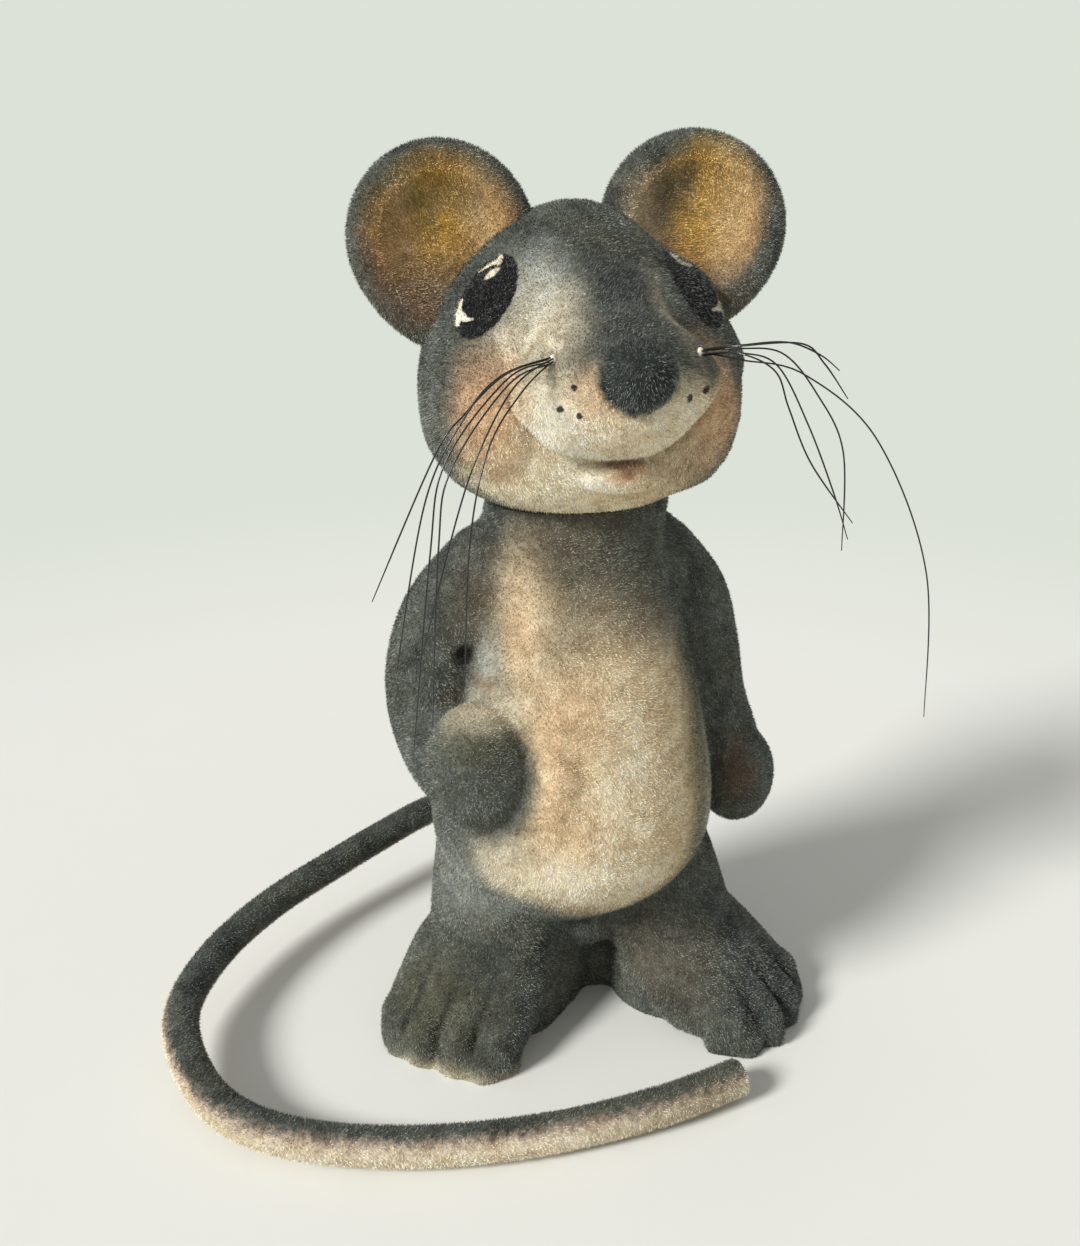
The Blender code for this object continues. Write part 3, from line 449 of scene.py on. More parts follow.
def colour_property(name, description, default):
    """A colour that a user may change."""
    return bpy.props.FloatVectorProperty(
        name=name, description=description, default=default, size=3, min=0.0, max=1.0, subtype="COLOR"
    )


def length_property(name, description, default):
    """A length that a user may change."""
    return bpy.props.FloatProperty(name=name, description=description, default=default, unit="LENGTH")


def amount_property(name, description, default):
    """A plain number from 0 up that a user may change."""
    return bpy.props.FloatProperty(name=name, description=description, default=default, min=0.0)


def count_property(name, description, default, least=1):
    """A whole number that a user may change."""
    return bpy.props.IntProperty(name=name, description=description, default=default, min=least)


class FigurinePaint(bpy.types.PropertyGroup):
    """The airbrushed colours of the flock, the filaments and the inner pieces."""

    slate: colour_property("Slate", "Flock of the back, limbs and crown", tint(90, 95, 88))
    # Frost is pale fibre tips, and partly a painted highlight of fibres catching the light
    frost: colour_property("Frost", "Light tips among the fibres", tint(208, 212, 202))
    # Dark slate also draws the thin line under the muzzle's edge, partly painted shade
    dark: colour_property("Dark slate", "Nose, bridge and toes", tint(46, 53, 49))
    # Olive also lays painted shade down the belly's edge at +X
    olive: colour_property("Olive", "Mottling on the limbs", tint(92, 92, 72))
    # Brown also lays painted shade along the muzzle's crease and painted shadow across the bottom of the ears
    brown: colour_property("Brown", "Mottling on the chest and inner foot", tint(116, 102, 82))
    tan: colour_property("Tan", "Belly", tint(226, 207, 171))
    peach: colour_property("Peach", "Warm clouds on the belly and cheeks", tint(226, 187, 147))
    cream: colour_property("Cream", "Lower belly and face", tint(240, 228, 199))
    white: colour_property("White", "Muzzle, chin and marks in the eyes", tint(249, 242, 219))
    gold: colour_property("Gold", "Inside of the ears", tint(212, 168, 60))
    rose: colour_property("Rose brown", "Edge of the inside of the ears", tint(156, 118, 84))
    # Rust under the mouth is partly the mouth's paint and partly painted shade under the muzzle
    rust: colour_property("Rust", "Under the mouth", tint(140, 92, 60))
    # Black also lays painted shade in the hollow by the right arm and along the toe grooves
    black: colour_property("Black", "Eyes and whisker dots", tint(8, 9, 9))
    pinkish: colour_property("Pinkish tan", "Side of the tail", tint(182, 163, 144))
    nylon: colour_property("Nylon", "Whisker filaments", tint(14, 14, 15))
    plastic: colour_property("Plastic", "Neck plug", tint(205, 203, 196))
    steel: colour_property("Steel", "Tail wire", tint(176, 176, 180))


class FigurineCoat(bpy.types.PropertyGroup):
    """The sizes of the flock."""

    length: length_property("Fibre length", "Length of a fibre", 0.5 * MM)
    width: length_property("Fibre width", "Width of a fibre at its root", 0.11 * MM)
    lean: amount_property("Lean", "How far fibres lie over, from 0 for upright", 1.0)
    body_fibres: count_property("Body fibres", "Fibres in each layer on the body", 48000)
    head_fibres: count_property("Head fibres", "Fibres in each layer on the head", 47000)
    ear_fibres: count_property("Ear fibres", "Fibres on each ear", 22000)
    tail_fibres: count_property("Tail fibres", "Fibres on the tail", 48000)
    seed: bpy.props.IntProperty(name="Seed", description="Start of the scatter", default=11)


class FigurineShape(bpy.types.PropertyGroup):
    """How finely the castings are sculpted."""

    body_voxel: length_property("Body detail", "Grid of the body's skin", 0.58 * MM)
    head_voxel: length_property("Head detail", "Grid of the head's skin", 0.46 * MM)
    softening: count_property("Softening", "Rounds of smoothing where lumps meet", 5, least=0)
    whisker_width: length_property("Whisker width", "Width of a filament", 0.23 * MM)


class FigurineStage(bpy.types.PropertyGroup):
    """The floor, the light and the camera."""

    floor: colour_property("Floor", "Colour of the floor", tint(234, 234, 227))
    backdrop: colour_property("Backdrop", "Colour behind the floor", tint(220, 226, 216))
    floor_size: length_property("Floor size", "Side of the floor", 8.0)
    key: amount_property("Key light", "Strength of the soft light at the left", 3.5)
    softness: bpy.props.FloatProperty(
        name="Softness",
        description="How wide the key light is",
        default=math.radians(16.0),
        subtype="ANGLE",
    )
    sky: amount_property("Surrounding light", "Strength of the light from all round", 0.4)


def point(place):
    """A point given in millimetres from the neck's axis, in the row frame."""
    return AXIS + Vector(place) * MM


def on_head(place):
    """A point given in millimetres above the head's base, in the row frame."""
    return point((place[0], place[1], place[2] + HEAD_BASE))


def smooth_through(keys, share):
    """Reads a row of key values on a smooth curve: share runs from 0 at the first key to 1 at the last."""
    place = min(max(share, 0.0), 1.0) * (len(keys) - 1)
    index = min(int(place), len(keys) - 2)
    t = place - index
    before, after = keys[max(index - 1, 0)], keys[min(index + 2, len(keys) - 1)]
    return tuple(
        0.5 * (2 * b + (c - a) * t + (2 * a - 5 * b + 4 * c - d) * t * t + (3 * b - a - 3 * c + d) * t**3)
        for a, b, c, d in zip(before, keys[index], keys[index + 1], after)
    )


def sampled(keys, count):
    """A row of values read at even shares of a smooth curve through the keys."""
    return [smooth_through(keys, i / (count - 1)) for i in range(count)]


def spaced(keys, count):
    """Points at even distances along a smooth curve through the keys."""
    fine = [Vector(place) for place in sampled(keys, FINE_STEPS + 1)]
    lengths = np.cumsum([0.0] + [(b - a).length for a, b in zip(fine, fine[1:])])
    shares = np.interp(np.linspace(0.0, lengths[-1], count), lengths, np.arange(FINE_STEPS + 1) / FINE_STEPS)
    return [Vector(smooth_through(keys, share)) for share in shares]


def upright_ring(height, half_width, front, back):
    """The matrix of a level ellipse that reaches front towards -Y and back towards +Y."""
    middle = Matrix.Translation(point((0.0, (back - front) / 2, height)))
    return middle @ Matrix.Diagonal((half_width * MM, (back + front) / 2 * MM, 1.0, 1.0))


def ring_across(centre, direction, width, height, across=None):
    """The matrix of an ellipse square to a direction, its first axis level or close to a given one."""
    z = direction.normalized()
    x = Vector((-z.y, z.x, 0.0)) if across is None else across - z * across.dot(z)
    x = x.normalized() if x.length > 1e-6 else Vector((1.0, 0.0, 0.0))
    turn = Matrix((x, z.cross(x), z)).transposed().to_4x4()
    return Matrix.Translation(centre) @ turn @ Matrix.Diagonal((width, height, 1.0, 1.0))


def rings_along(centres, radii):
    """The matrices of round rings square to a line of points, with no twist from one to the next."""
    matrices = []
    across = (centres[1] - centres[0]).orthogonal()
    for i, (centre, radius) in enumerate(zip(centres, radii)):
        ahead = centres[min(i + 1, len(centres) - 1)] - centres[max(i - 1, 0)]
        matrices.append(ring_across(centre, ahead, radius, radius, across))
        across = matrices[-1].col[0].to_3d()
    return matrices


def sweep(bm, rings, sides):
    """Extrudes a section from ring to ring and closes both ends."""
    start = bmesh.ops.create_circle(bm, segments=sides, radius=1.0, matrix=rings[0])["verts"]
    edges = list({edge for vert in start for edge in vert.link_edges})
    first = edges
    for last, ring in zip(rings, rings[1:]):
        grown = bmesh.ops.extrude_edge_only(bm, edges=edges)["geom"]
        verts = [item for item in grown if isinstance(item, bmesh.types.BMVert)]
        fresh = set(verts)
        edges = [item for item in grown if isinstance(item, bmesh.types.BMEdge)]
        edges = [edge for edge in edges if fresh.issuperset(edge.verts)]
        bmesh.ops.transform(bm, matrix=ring @ last.inverted(), verts=verts)
    bmesh.ops.contextual_create(bm, geom=first)
    bmesh.ops.contextual_create(bm, geom=edges)


def rolled(bm, centres, radii, sides=28):
    """A round roll along points, with a dome over each end."""
    line = list(zip(centres, radii))
    for end, inner, radius, grow in (
        (centres[0], centres[1], radii[0], lambda ring: line.insert(0, ring)),
        (centres[-1], centres[-2], radii[-1], line.append),
    ):
        outward = (end - inner).normalized()
        for angle in (math.radians(a) for a in (22, 44, 64, 80)):
            grow((end + outward * radius * math.sin(angle), radius * math.cos(angle)))
    sweep(bm, rings_along([c for c, _ in line], [r for _, r in line]), sides)


def ball(bm, centre, radii):
    """An ellipsoid with radii in millimetres."""
    matrix = Matrix.Translation(centre) @ Matrix.Diagonal((*(Vector(radii) * MM), 1.0))
    bmesh.ops.create_uvsphere(bm, u_segments=40, v_segments=28, radius=1.0, matrix=matrix)


def mesh_from(bm, name):
    """Turns a bmesh into a smooth-shaded mesh with its faces pointing out."""
    bmesh.ops.recalc_face_normals(bm, faces=bm.faces)
    mesh = bpy.data.meshes.new(name)
    bm.to_mesh(mesh)
    bm.free()
    mesh.shade_smooth()
    return mesh


def linked(name, data):
    """Links a mesh, a lamp or a camera to the scene."""
    obj = bpy.data.objects.new(name, data)
    bpy.context.scene.collection.objects.link(obj)
    return obj


def piece(name, mesh, material, body):
    """Links a finished mesh as a piece that rides on a CAD body."""
    obj = linked(name, mesh)
    mesh.materials.clear()
    mesh.materials.append(material)
    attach(obj, body)
    return obj


def applied(obj, name):
    """The object's mesh with its modifiers applied; the object is removed."""
    graph = bpy.context.evaluated_depsgraph_get()
    mesh = bpy.data.meshes.new_from_object(obj.evaluated_get(graph))
    mesh.name = name
    bpy.data.objects.remove(obj)
    return mesh


def melted(bm, name, voxel, rounds, inset=PILE):
    """Melts overlapping lumps into one sculpted skin, which lies a little inside for the pile on it."""
    lumps = linked(name, mesh_from(bm, name))
    skin = lumps.modifiers.new("skin", "REMESH")
    skin.mode = "VOXEL"
    skin.voxel_size = voxel
    soften = lumps.modifiers.new("soften", "SMOOTH")
    soften.factor = 0.5
    soften.iterations = rounds
    under = lumps.modifiers.new("under_the_pile", "DISPLACE")
    under.strength = -inset * MM
    under.mid_level = 0.0
    return applied(lumps, name)


def points_of(mesh):
    """A mesh's points as rows of an array."""
    co = np.zeros(len(mesh.vertices) * 3)
    mesh.vertices.foreach_get("co", co)
    return co.reshape(-1, 3)


def pressed(mesh, centre, radii, push):
    """Presses a soft dent into a skin: push is how far, in millimetres, and which way."""
    co = points_of(mesh)
    local = (co - np.array(centre)) / (np.array(radii) * MM)
    weight = np.clip(1.0 - np.linalg.norm(local, axis=1), 0.0, 1.0)
    weight = weight * weight * (3 - 2 * weight)
    co += weight[:, None] * np.array(push) * MM
    mesh.vertices.foreach_set("co", co.ravel())
    mesh.update()


def swollen(mesh, swells):
    """Makes a skin a little fuller or slimmer in places."""
    for place, radii, push in swells:
        pressed(mesh, point(place), radii, push)


def creased(mesh, centres, towards, radius, depth):
    """Presses a soft crease along close points, towards a point inside."""
    for centre in centres:
        pressed(mesh, centre, (radius,) * 3, (towards - centre).normalized() * depth * 0.6)


def level_cut(mesh, height, keep_above):
    """Cuts a mesh by a level plane, keeps one side and closes it with a flat face."""
    bm = bmesh.new()
    bm.from_mesh(mesh)
    cut = bmesh.ops.bisect_plane(
        bm,
        geom=bm.verts[:] + bm.edges[:] + bm.faces[:],
        dist=1e-7,
        plane_co=(0.0, 0.0, height * MM),
        plane_no=(0.0, 0.0, 1.0),
        clear_outer=not keep_above,
        clear_inner=keep_above,
    )
    rim = [e for e in cut["geom_cut"] if isinstance(e, bmesh.types.BMEdge) and e.is_boundary]
    bmesh.ops.holes_fill(bm, edges=rim, sides=0)
    return mesh_from(bm, mesh.name)


def coated(mesh, values):
    """Marks the faces that fibres grow on with 1 and the others with 0."""
    mesh.attributes.new("coat", "FLOAT", "FACE").data.foreach_set("value", values)


def off_the_cuts(mesh, low, high):
    """Marks for every face but those on the flat cuts at a low and a high level."""
    values = []
    for face in mesh.polygons:
        height = face.center.z / MM
        flat = abs(face.normal.z) > 0.99 and (height < low + 0.05 or height > high - 0.05)
        values.append(0.0 if flat or height < low + 0.15 else 1.0)
    return values


def bored(mesh, cutters):
    """Takes cutter meshes out of a skin."""
    obj = linked(mesh.name + "_bored", mesh)
    tools = []
    for cutter in cutters:
        tool = linked("cutter", cutter)
        cut = obj.modifiers.new("cut", "BOOLEAN")
        cut.operation = "DIFFERENCE"
        cut.solver = "EXACT"
        cut.object = tool
        tools.append(tool)
    result = applied(obj, mesh.name)
    for tool in tools:
        bpy.data.objects.remove(tool)
    result.shade_smooth()
    result.set_sharp_from_angle(angle=math.radians(50))
    return result


def neck_bore(low, high, radius):
    """A round cutter on the neck's axis."""
    bm = bmesh.new()
    rings = [upright_ring(height, radius, radius, radius) for height in (low, high)]
    sweep(bm, rings, 64)
    return mesh_from(bm, "neck_bore")


def new_group(name, kind, inputs, outputs):
    """A node group with its sockets, each given as a name, a kind and perhaps a default."""
    tree = bpy.data.node_groups.new(name, kind)
    for direction, sockets in (("INPUT", inputs), ("OUTPUT", outputs)):
        for label, value_kind, *default in sockets:
            made = tree.interface.new_socket(label, in_out=direction, socket_type="NodeSocket" + value_kind)
            if default:
                made.default_value = default[0]
    return tree


def wired(tree, kind, inputs=(), **settings):
    """Adds a node with its settings, and sets or links its inputs."""
    node = tree.nodes.new(kind)
    for key, value in settings.items():
        setattr(node, key, value)
    for key, value in dict(inputs).items():
        if isinstance(value, bpy.types.NodeSocket):
            tree.links.new(value, node.inputs[key])
        else:
            node.inputs[key].default_value = value
    return node


def maths(tree, operation, *values):
    """A Math node; its value."""
    node = wired(tree, "ShaderNodeMath", dict(enumerate(values)), operation=operation)
    return node.outputs[0]


def vector_maths(tree, operation, *values):
    """A Vector Math node; its vector, or its value for a length."""
    node = wired(tree, "ShaderNodeVectorMath", dict(enumerate(values)), operation=operation)
    return node.outputs["Value" if operation in ("LENGTH", "DOT_PRODUCT") else "Vector"]


def scaled(tree, vector, factor):
    """A vector made longer or shorter."""
    node = wired(tree, "ShaderNodeVectorMath", {0: vector, "Scale": factor}, operation="SCALE")
    return node.outputs["Vector"]


def object_place(tree):
    """Where a point lies on its piece."""
    return tree.nodes.new("ShaderNodeTexCoord").outputs["Object"]


def noise(tree, place, scale, detail, output="Fac", distortion=0.0):
    """A cloudy pattern over a place; its value or its colour."""
    values = {"Vector": place, "Scale": scale, "Detail": detail, "Distortion": distortion}
    return wired(tree, "ShaderNodeTexNoise", values).outputs[output]


def ramp(tree, value, start, end, low=0.0, high=1.0, shape="LINEAR"):
    """Takes a value from one range over to another and holds it at both ends."""
    ranges = {"Value": value, "From Min": start, "From Max": end, "To Min": low, "To Max": high}
    return wired(tree, "ShaderNodeMapRange", ranges, interpolation_type=shape).outputs["Result"]


def ragged_place_group():
    """Object coordinates with ragged edges, so that airbrushed spots break up as they do on fibres."""
    inputs = (("Cloud", "Float", 3.0 * MM), ("Fibre", "Float", 1.2 * MM))
    tree = new_group("ragged_place", "ShaderNodeTree", inputs, (("Place", "Vector"),))
    given = tree.nodes.new("NodeGroupInput").outputs
    place = object_place(tree)
    shifted = place
    for scale, detail, amount in ((130.0, 2.0, "Cloud"), (1500.0, 1.0, "Fibre")):
        cloud = noise(tree, place, scale, detail, "Color")
        centred = vector_maths(tree, "SUBTRACT", cloud, (0.5, 0.5, 0.5))
        shifted = vector_maths(tree, "ADD", shifted, scaled(tree, centred, given[amount]))
    wired(tree, "NodeGroupOutput", {"Place": shifted})


def airbrush_group():
    """The mask of one airbrushed spot: a turned ellipsoid with a soft edge."""
    inputs = (
        ("Place", "Vector"),
        ("Centre", "Vector"),
        ("Radii", "Vector", (1.0, 1.0, 1.0)),
        ("Turn", "Vector"),
        ("Softness", "Float", 0.3),
        ("Strength", "Float", 1.0),
    )
    tree = new_group("airbrush_spot", "ShaderNodeTree", inputs, (("Mask", "Float"),))
    given = tree.nodes.new("NodeGroupInput").outputs
    offset = vector_maths(tree, "SUBTRACT", given["Place"], given["Centre"])
    turned = wired(
        tree,
        "ShaderNodeVectorRotate",
        {"Vector": offset, "Rotation": given["Turn"]},
        rotation_type="EULER_XYZ",
        invert=True,
    )
    reach = vector_maths(tree, "DIVIDE", turned.outputs["Vector"], given["Radii"])
    far = vector_maths(tree, "LENGTH", reach)
    edges = maths(tree, "ADD", given["Softness"], 1.0), maths(tree, "SUBTRACT", 1.0, given["Softness"])
    wired(tree, "NodeGroupOutput", {"Mask": ramp(tree, far, *edges, 0.0, given["Strength"], "SMOOTHSTEP")})


def grain_and_shade_group():
    """The skin between the fibres: a ground darkened as painted shade, with finer random light and dark, and
    a felted height.
    """
    tree = new_group("flock_grain_and_shade", "ShaderNodeTree", (), FLOCK_OUTPUTS)
    place = object_place(tree)
    grains = noise(tree, place, 2600.0, 1.0, distortion=0.8), noise(tree, place, 620.0, 2.0)
    mixed = maths(tree, "ADD", *(maths(tree, "MULTIPLY", grain, 0.5) for grain in grains))
    made = {
        "Frost": ramp(tree, mixed, 0.55, 0.75, 0.0, 0.15),
        # the skin's Shade stays below the fibres' as painted shade between them, and varies at random
        "Shade": ramp(tree, mixed, 0.35, 0.65, 0.6, 1.05),
        "Height": mixed,
    }
    wired(tree, "NodeGroupOutput", made)


def pile_group():
    """The fibres: each has a tone of its own, and some are frosted, partly as a painted highlight of tips
    catching the light.
    """
    tree = new_group("fibre_pile", "ShaderNodeTree", (), FLOCK_OUTPUTS)
    tone = wired(tree, "ShaderNodeAttribute", attribute_name="tone").outputs["Fac"]
    tuft = noise(tree, object_place(tree), 700.0, 2.0)
    shades = ramp(tree, tone, 0.0, 1.0, 0.66, 1.85), ramp(tree, tuft, 0.35, 0.65, 0.8, 1.2)
    made = {
        "Frost": ramp(tree, tone, 0.3, 1.0, 0.0, 0.2),
        "Shade": maths(tree, "MULTIPLY", *shades),
        "Height": tuft,
    }
    wired(tree, "NodeGroupOutput", made)


def shared_groups():
    """The node groups that the flock materials share, built once."""
    if "airbrush_spot" not in bpy.data.node_groups:
        ragged_place_group()
        airbrush_group()
        grain_and_shade_group()
        pile_group()
    return bpy.data.node_groups


def new_material(name, constants):
    """A material, its nodes and its shader, with the values that are the same all over."""
    made = bpy.data.materials.new(name)
    made.use_nodes = True
    shader = made.node_tree.nodes["Principled BSDF"]
    for key, value in dict(constants).items():
        shader.inputs[key].default_value = value
    return made, made.node_tree, shader


def mixed_colour(tree, mask, below, above):
    """Lays a colour over another through a mask; each colour is a socket, or red, green and blue."""
    below, above = (c if isinstance(c, bpy.types.NodeSocket) else (*c, 1.0) for c in (below, above))
    return wired(tree, "ShaderNodeMix", {0: mask, 6: below, 7: above}, data_type="RGBA").outputs[2]


def plain_material(name, colour, roughness, constants=()):
    """A material with one base colour and a fine procedural wear in its roughness."""
    made, tree, shader = new_material(name, constants)
    wear = noise(tree, object_place(tree), 900.0, 3.0)
    rough = ramp(tree, wear, 0.0, 1.0, roughness * 0.8, min(1.0, roughness * 1.25))
    tree.links.new(rough, shader.inputs["Roughness"])
    tone = mixed_colour(tree, wear, [c * 0.85 for c in colour], [min(1.0, c * 1.15) for c in colour])
    tree.links.new(tone, shader.inputs["Base Color"])
    return made


def flock_material(name, spots, fibres, stripe):
    """Flock with airbrushed spots, some of them painted shade or highlight, for the skin under the pile or
    for its fibres.
    """
    groups = shared_groups()
    paint = bpy.context.scene.figurine_paint
    made, tree, shader = new_material(name, FLOCK_SURFACE)
    places = {
        crisp: wired(tree, "ShaderNodeGroup", amounts, node_tree=groups["ragged_place"]).outputs["Place"]
        for crisp, amounts in ((False, {}), (True, CRISP_EDGES))
    }
    colour = paint.slate
    for scale, detail, start, end, most, tone in MOTTLING:
        mask = ramp(tree, noise(tree, places[False], scale, detail), start, end, 0.0, most)
        colour = mixed_colour(tree, mask, colour, getattr(paint, tone))
    if stripe:
        colour = striped_tail(tree, colour, paint)
    for tone, centre, radii, softness, strength, crisp, turn in spots:
        values = {
            "Place": places[crisp],
            "Centre": point(centre),
            "Radii": Vector(radii) * MM,
            "Turn": turn,
            "Softness": softness,
            "Strength": strength,
        }
        mask = wired(tree, "ShaderNodeGroup", values, node_tree=groups["airbrush_spot"]).outputs["Mask"]
        colour = mixed_colour(tree, mask, colour, getattr(paint, tone))
    worn = ramp(tree, noise(tree, places[True], 260.0, 3.0), 0.42, 0.6, 0.4, 0.0)
    colour = mixed_colour(tree, worn, colour, vector_maths(tree, "MULTIPLY", colour, WORN_TINT))
    group = groups["fibre_pile" if fibres else "flock_grain_and_shade"]
    pile = wired(tree, "ShaderNodeGroup", node_tree=group).outputs
    # Frost mixes in pale tips, partly a painted highlight; the skin's Shade is partly painted shade between
    # the fibres
    lit = scaled(tree, mixed_colour(tree, pile["Frost"], colour, paint.frost), pile["Shade"])
    tree.links.new(vector_maths(tree, "MINIMUM", lit, LIGHTEST), shader.inputs["Base Color"])
    bump = wired(tree, "ShaderNodeBump", {"Height": pile["Height"], "Strength": 0.5, "Distance": 0.2 * MM})
    tree.links.new(bump.outputs["Normal"], shader.inputs["Normal"])
    return made


def striped_tail(tree, colour, paint):
    """The tail's length-wise colours, from the dark ridge to the cream underside."""
    ridge = wired(tree, "ShaderNodeAttribute", attribute_name="ridge").outputs["Fac"]
    uneven = maths(tree, "SUBTRACT", noise(tree, object_place(tree), 900.0, 2.0), 0.5)
    ragged = maths(tree, "ADD", ridge, uneven)
    for tone, start, end, most in STRIPES:
        mask = ramp(tree, ragged, start, end, 0.0, most, "SMOOTHSTEP")
        colour = mixed_colour(tree, mask, colour, getattr(paint, tone))
    return colour


def named_value(tree, name):
    """Reads a number that is stored on a mesh."""
    node = wired(tree, "GeometryNodeInputNamedAttribute", {"Name": name}, data_type="FLOAT")
    return node.outputs["Attribute"]


def fibre_group():
    """Geometry nodes that grow seeded fibres on a coated skin, each with its own cell in the bake map."""
    inputs = [("Geometry", "Geometry")]
    inputs += [(name, "Float") for name in ("Density", "Length", "Width", "Lean")]
    inputs += [(name, "Int") for name in ("Seed", "Columns")]
    tree = new_group("flock_fibres", "GeometryNodeTree", inputs, (("Geometry", "Geometry"),))
    tree.is_modifier = True
    given = tree.nodes.new("NodeGroupInput").outputs
    grown = wired(
        tree,
        "FunctionNodeCompare",
        {"A": named_value(tree, "coat"), "B": 0.5},
        data_type="FLOAT",
        operation="GREATER_THAN",
    )
    spread = wired(
        tree,
        "GeometryNodeDistributePointsOnFaces",
        {
            "Mesh": given["Geometry"],
            "Selection": grown.outputs["Result"],
            "Density": given["Density"],
            "Seed": given["Seed"],
        },
        distribute_method="RANDOM",
    )
    place = tree.nodes.new("GeometryNodeInputPosition").outputs["Position"]
    comb = vector_maths(tree, "SUBTRACT", noise(tree, place, 75.0, 1.0, "Color"), (0.42, 0.42, 0.62))
    combed = vector_maths(tree, "MULTIPLY", comb, (4.0, 4.0, 4.0))
    stray = wired(
        tree,
        "FunctionNodeRandomValue",
        {"Min": (-0.8, -0.8, -0.8), "Max": (0.8, 0.8, 0.8), "Seed": given["Seed"]},
        data_type="FLOAT_VECTOR",
    ).outputs["Value"]
    lying = scaled(tree, vector_maths(tree, "ADD", combed, stray), given["Lean"])
    normal = spread.outputs["Normal"]
    flat = scaled(tree, normal, vector_maths(tree, "DOT_PRODUCT", lying, normal))
    aim = vector_maths(tree, "ADD", vector_maths(tree, "SUBTRACT", lying, flat), normal)
    turn = wired(tree, "FunctionNodeAlignRotationToVector", {"Vector": aim}, axis="Z")
    seeds = maths(tree, "ADD", given["Seed"], 5.0)
    chance = wired(tree, "FunctionNodeRandomValue", {"Seed": seeds}, data_type="FLOAT").outputs[1]
    marked = spread.outputs["Points"]
    for name, value in (("fibre", tree.nodes.new("GeometryNodeInputIndex").outputs[0]), ("tone", chance)):
        marks = {"Geometry": marked, "Name": name, "Value": value}
        stored = wired(tree, "GeometryNodeStoreNamedAttribute", marks, data_type="FLOAT", domain="POINT")
        marked = stored.outputs["Geometry"]
    heights = {2: 0.55, 3: 1.15, "Seed": given["Seed"]}
    tall = wired(tree, "FunctionNodeRandomValue", heights, data_type="FLOAT")
    size = wired(tree, "ShaderNodeCombineXYZ", {"X": 1.0, "Y": 1.0, "Z": tall.outputs[1]})
    cone = wired(
        tree,
        "GeometryNodeMeshCone",
        {
            "Vertices": 3,
            "Radius Top": 0.0,
            "Radius Bottom": maths(tree, "MULTIPLY", given["Width"], 0.58),
            "Depth": given["Length"],
        },
        fill_type="NGON",
    )
    planted = wired(
        tree,
        "GeometryNodeInstanceOnPoints",
        {
            "Points": marked,
            "Instance": cone.outputs["Mesh"],
            "Rotation": turn.outputs["Rotation"],
            "Scale": size.outputs["Vector"],
        },
    )
    real = wired(tree, "GeometryNodeRealizeInstances", {"Geometry": planted.outputs["Instances"]})
    at = wired(tree, "ShaderNodeSeparateXYZ", {"Vector": place}).outputs
    above = maths(tree, "MAXIMUM", at["Z"], 0.03 * MM)
    raised = wired(tree, "ShaderNodeCombineXYZ", {"X": at["X"], "Y": at["Y"], "Z": above}).outputs["Vector"]
    moved = {"Geometry": real.outputs["Geometry"], "Position": raised}
    standing = wired(tree, "GeometryNodeSetPosition", moved)
    inside = wired(tree, "ShaderNodeSeparateXYZ", {"Vector": cone.outputs["UV Map"]}).outputs
    whole = maths(tree, "ROUND", named_value(tree, "fibre"))
    column = maths(tree, "MODULO", whole, given["Columns"])
    row = maths(tree, "FLOOR", maths(tree, "DIVIDE", maths(tree, "ADD", whole, 0.5), given["Columns"]))
    cell = []
    for index, corner in ((column, inside["X"]), (row, inside["Y"])):
        within = maths(tree, "ADD", maths(tree, "MULTIPLY", corner, 0.7), 0.15)
        cell.append(maths(tree, "DIVIDE", maths(tree, "ADD", index, within), given["Columns"]))
    mapped = wired(
        tree,
        "GeometryNodeStoreNamedAttribute",
        {
            "Geometry": standing.outputs["Geometry"],
            "Name": "OFBake",
            "Value": wired(tree, "ShaderNodeCombineXYZ", {"X": cell[0], "Y": cell[1]}).outputs["Vector"],
        },
        data_type="FLOAT2",
        domain="CORNER",
    )
    wired(tree, "NodeGroupOutput", {"Geometry": mapped.outputs["Geometry"]})
    return tree


def grow_flock(name, skin, count, layers, material, body):
    """Grows layers of fibres on a skin, each layer a piece of its own."""
    coat = bpy.context.scene.figurine_coat
    tree = bpy.data.node_groups.get("flock_fibres") or fibre_group()
    keys = {item.name: item.identifier for item in tree.interface.items_tree if item.in_out == "INPUT"}
    values = np.zeros(len(skin.polygons))
    skin.attributes["coat"].data.foreach_get("value", values)
    areas = np.zeros(len(skin.polygons))
    skin.polygons.foreach_get("area", areas)
    density = count / float((areas * values).sum())
    for layer in range(layers):
        bed = linked(name + "_bed", skin)
        grow = bed.modifiers.new("grow", "NODES")
        grow.node_group = tree
        settings = {
            "Density": density,
            "Length": coat.length,
            "Width": coat.width,
            "Lean": coat.lean,
            "Seed": coat.seed + layer,
            "Columns": math.ceil(math.sqrt(count * 1.02)),
        }
        for key, value in settings.items():
            grow[keys[key]] = value
        fibres = applied(bed, f"{name}_{layer + 1}")
        fibres.attributes.remove(fibres.attributes["fibre"])
        piece(fibres.name, fibres, material, body)


def foot_frame(toes_x, toes_y, side):
    """The matrix of a foot: +Y runs from the heel to the middle of the toe line, at the floor."""
    turn = Matrix.Rotation(math.pi + side * FOOT_TURN, 4, "Z")
    return Matrix.Translation(point((toes_x, toes_y, 0.0))) @ turn


def placed(frame_at, x, y, z):
    """A point given in millimetres in a frame of its own, in the row frame."""
    return frame_at @ (Vector((x, y, z)) * MM)


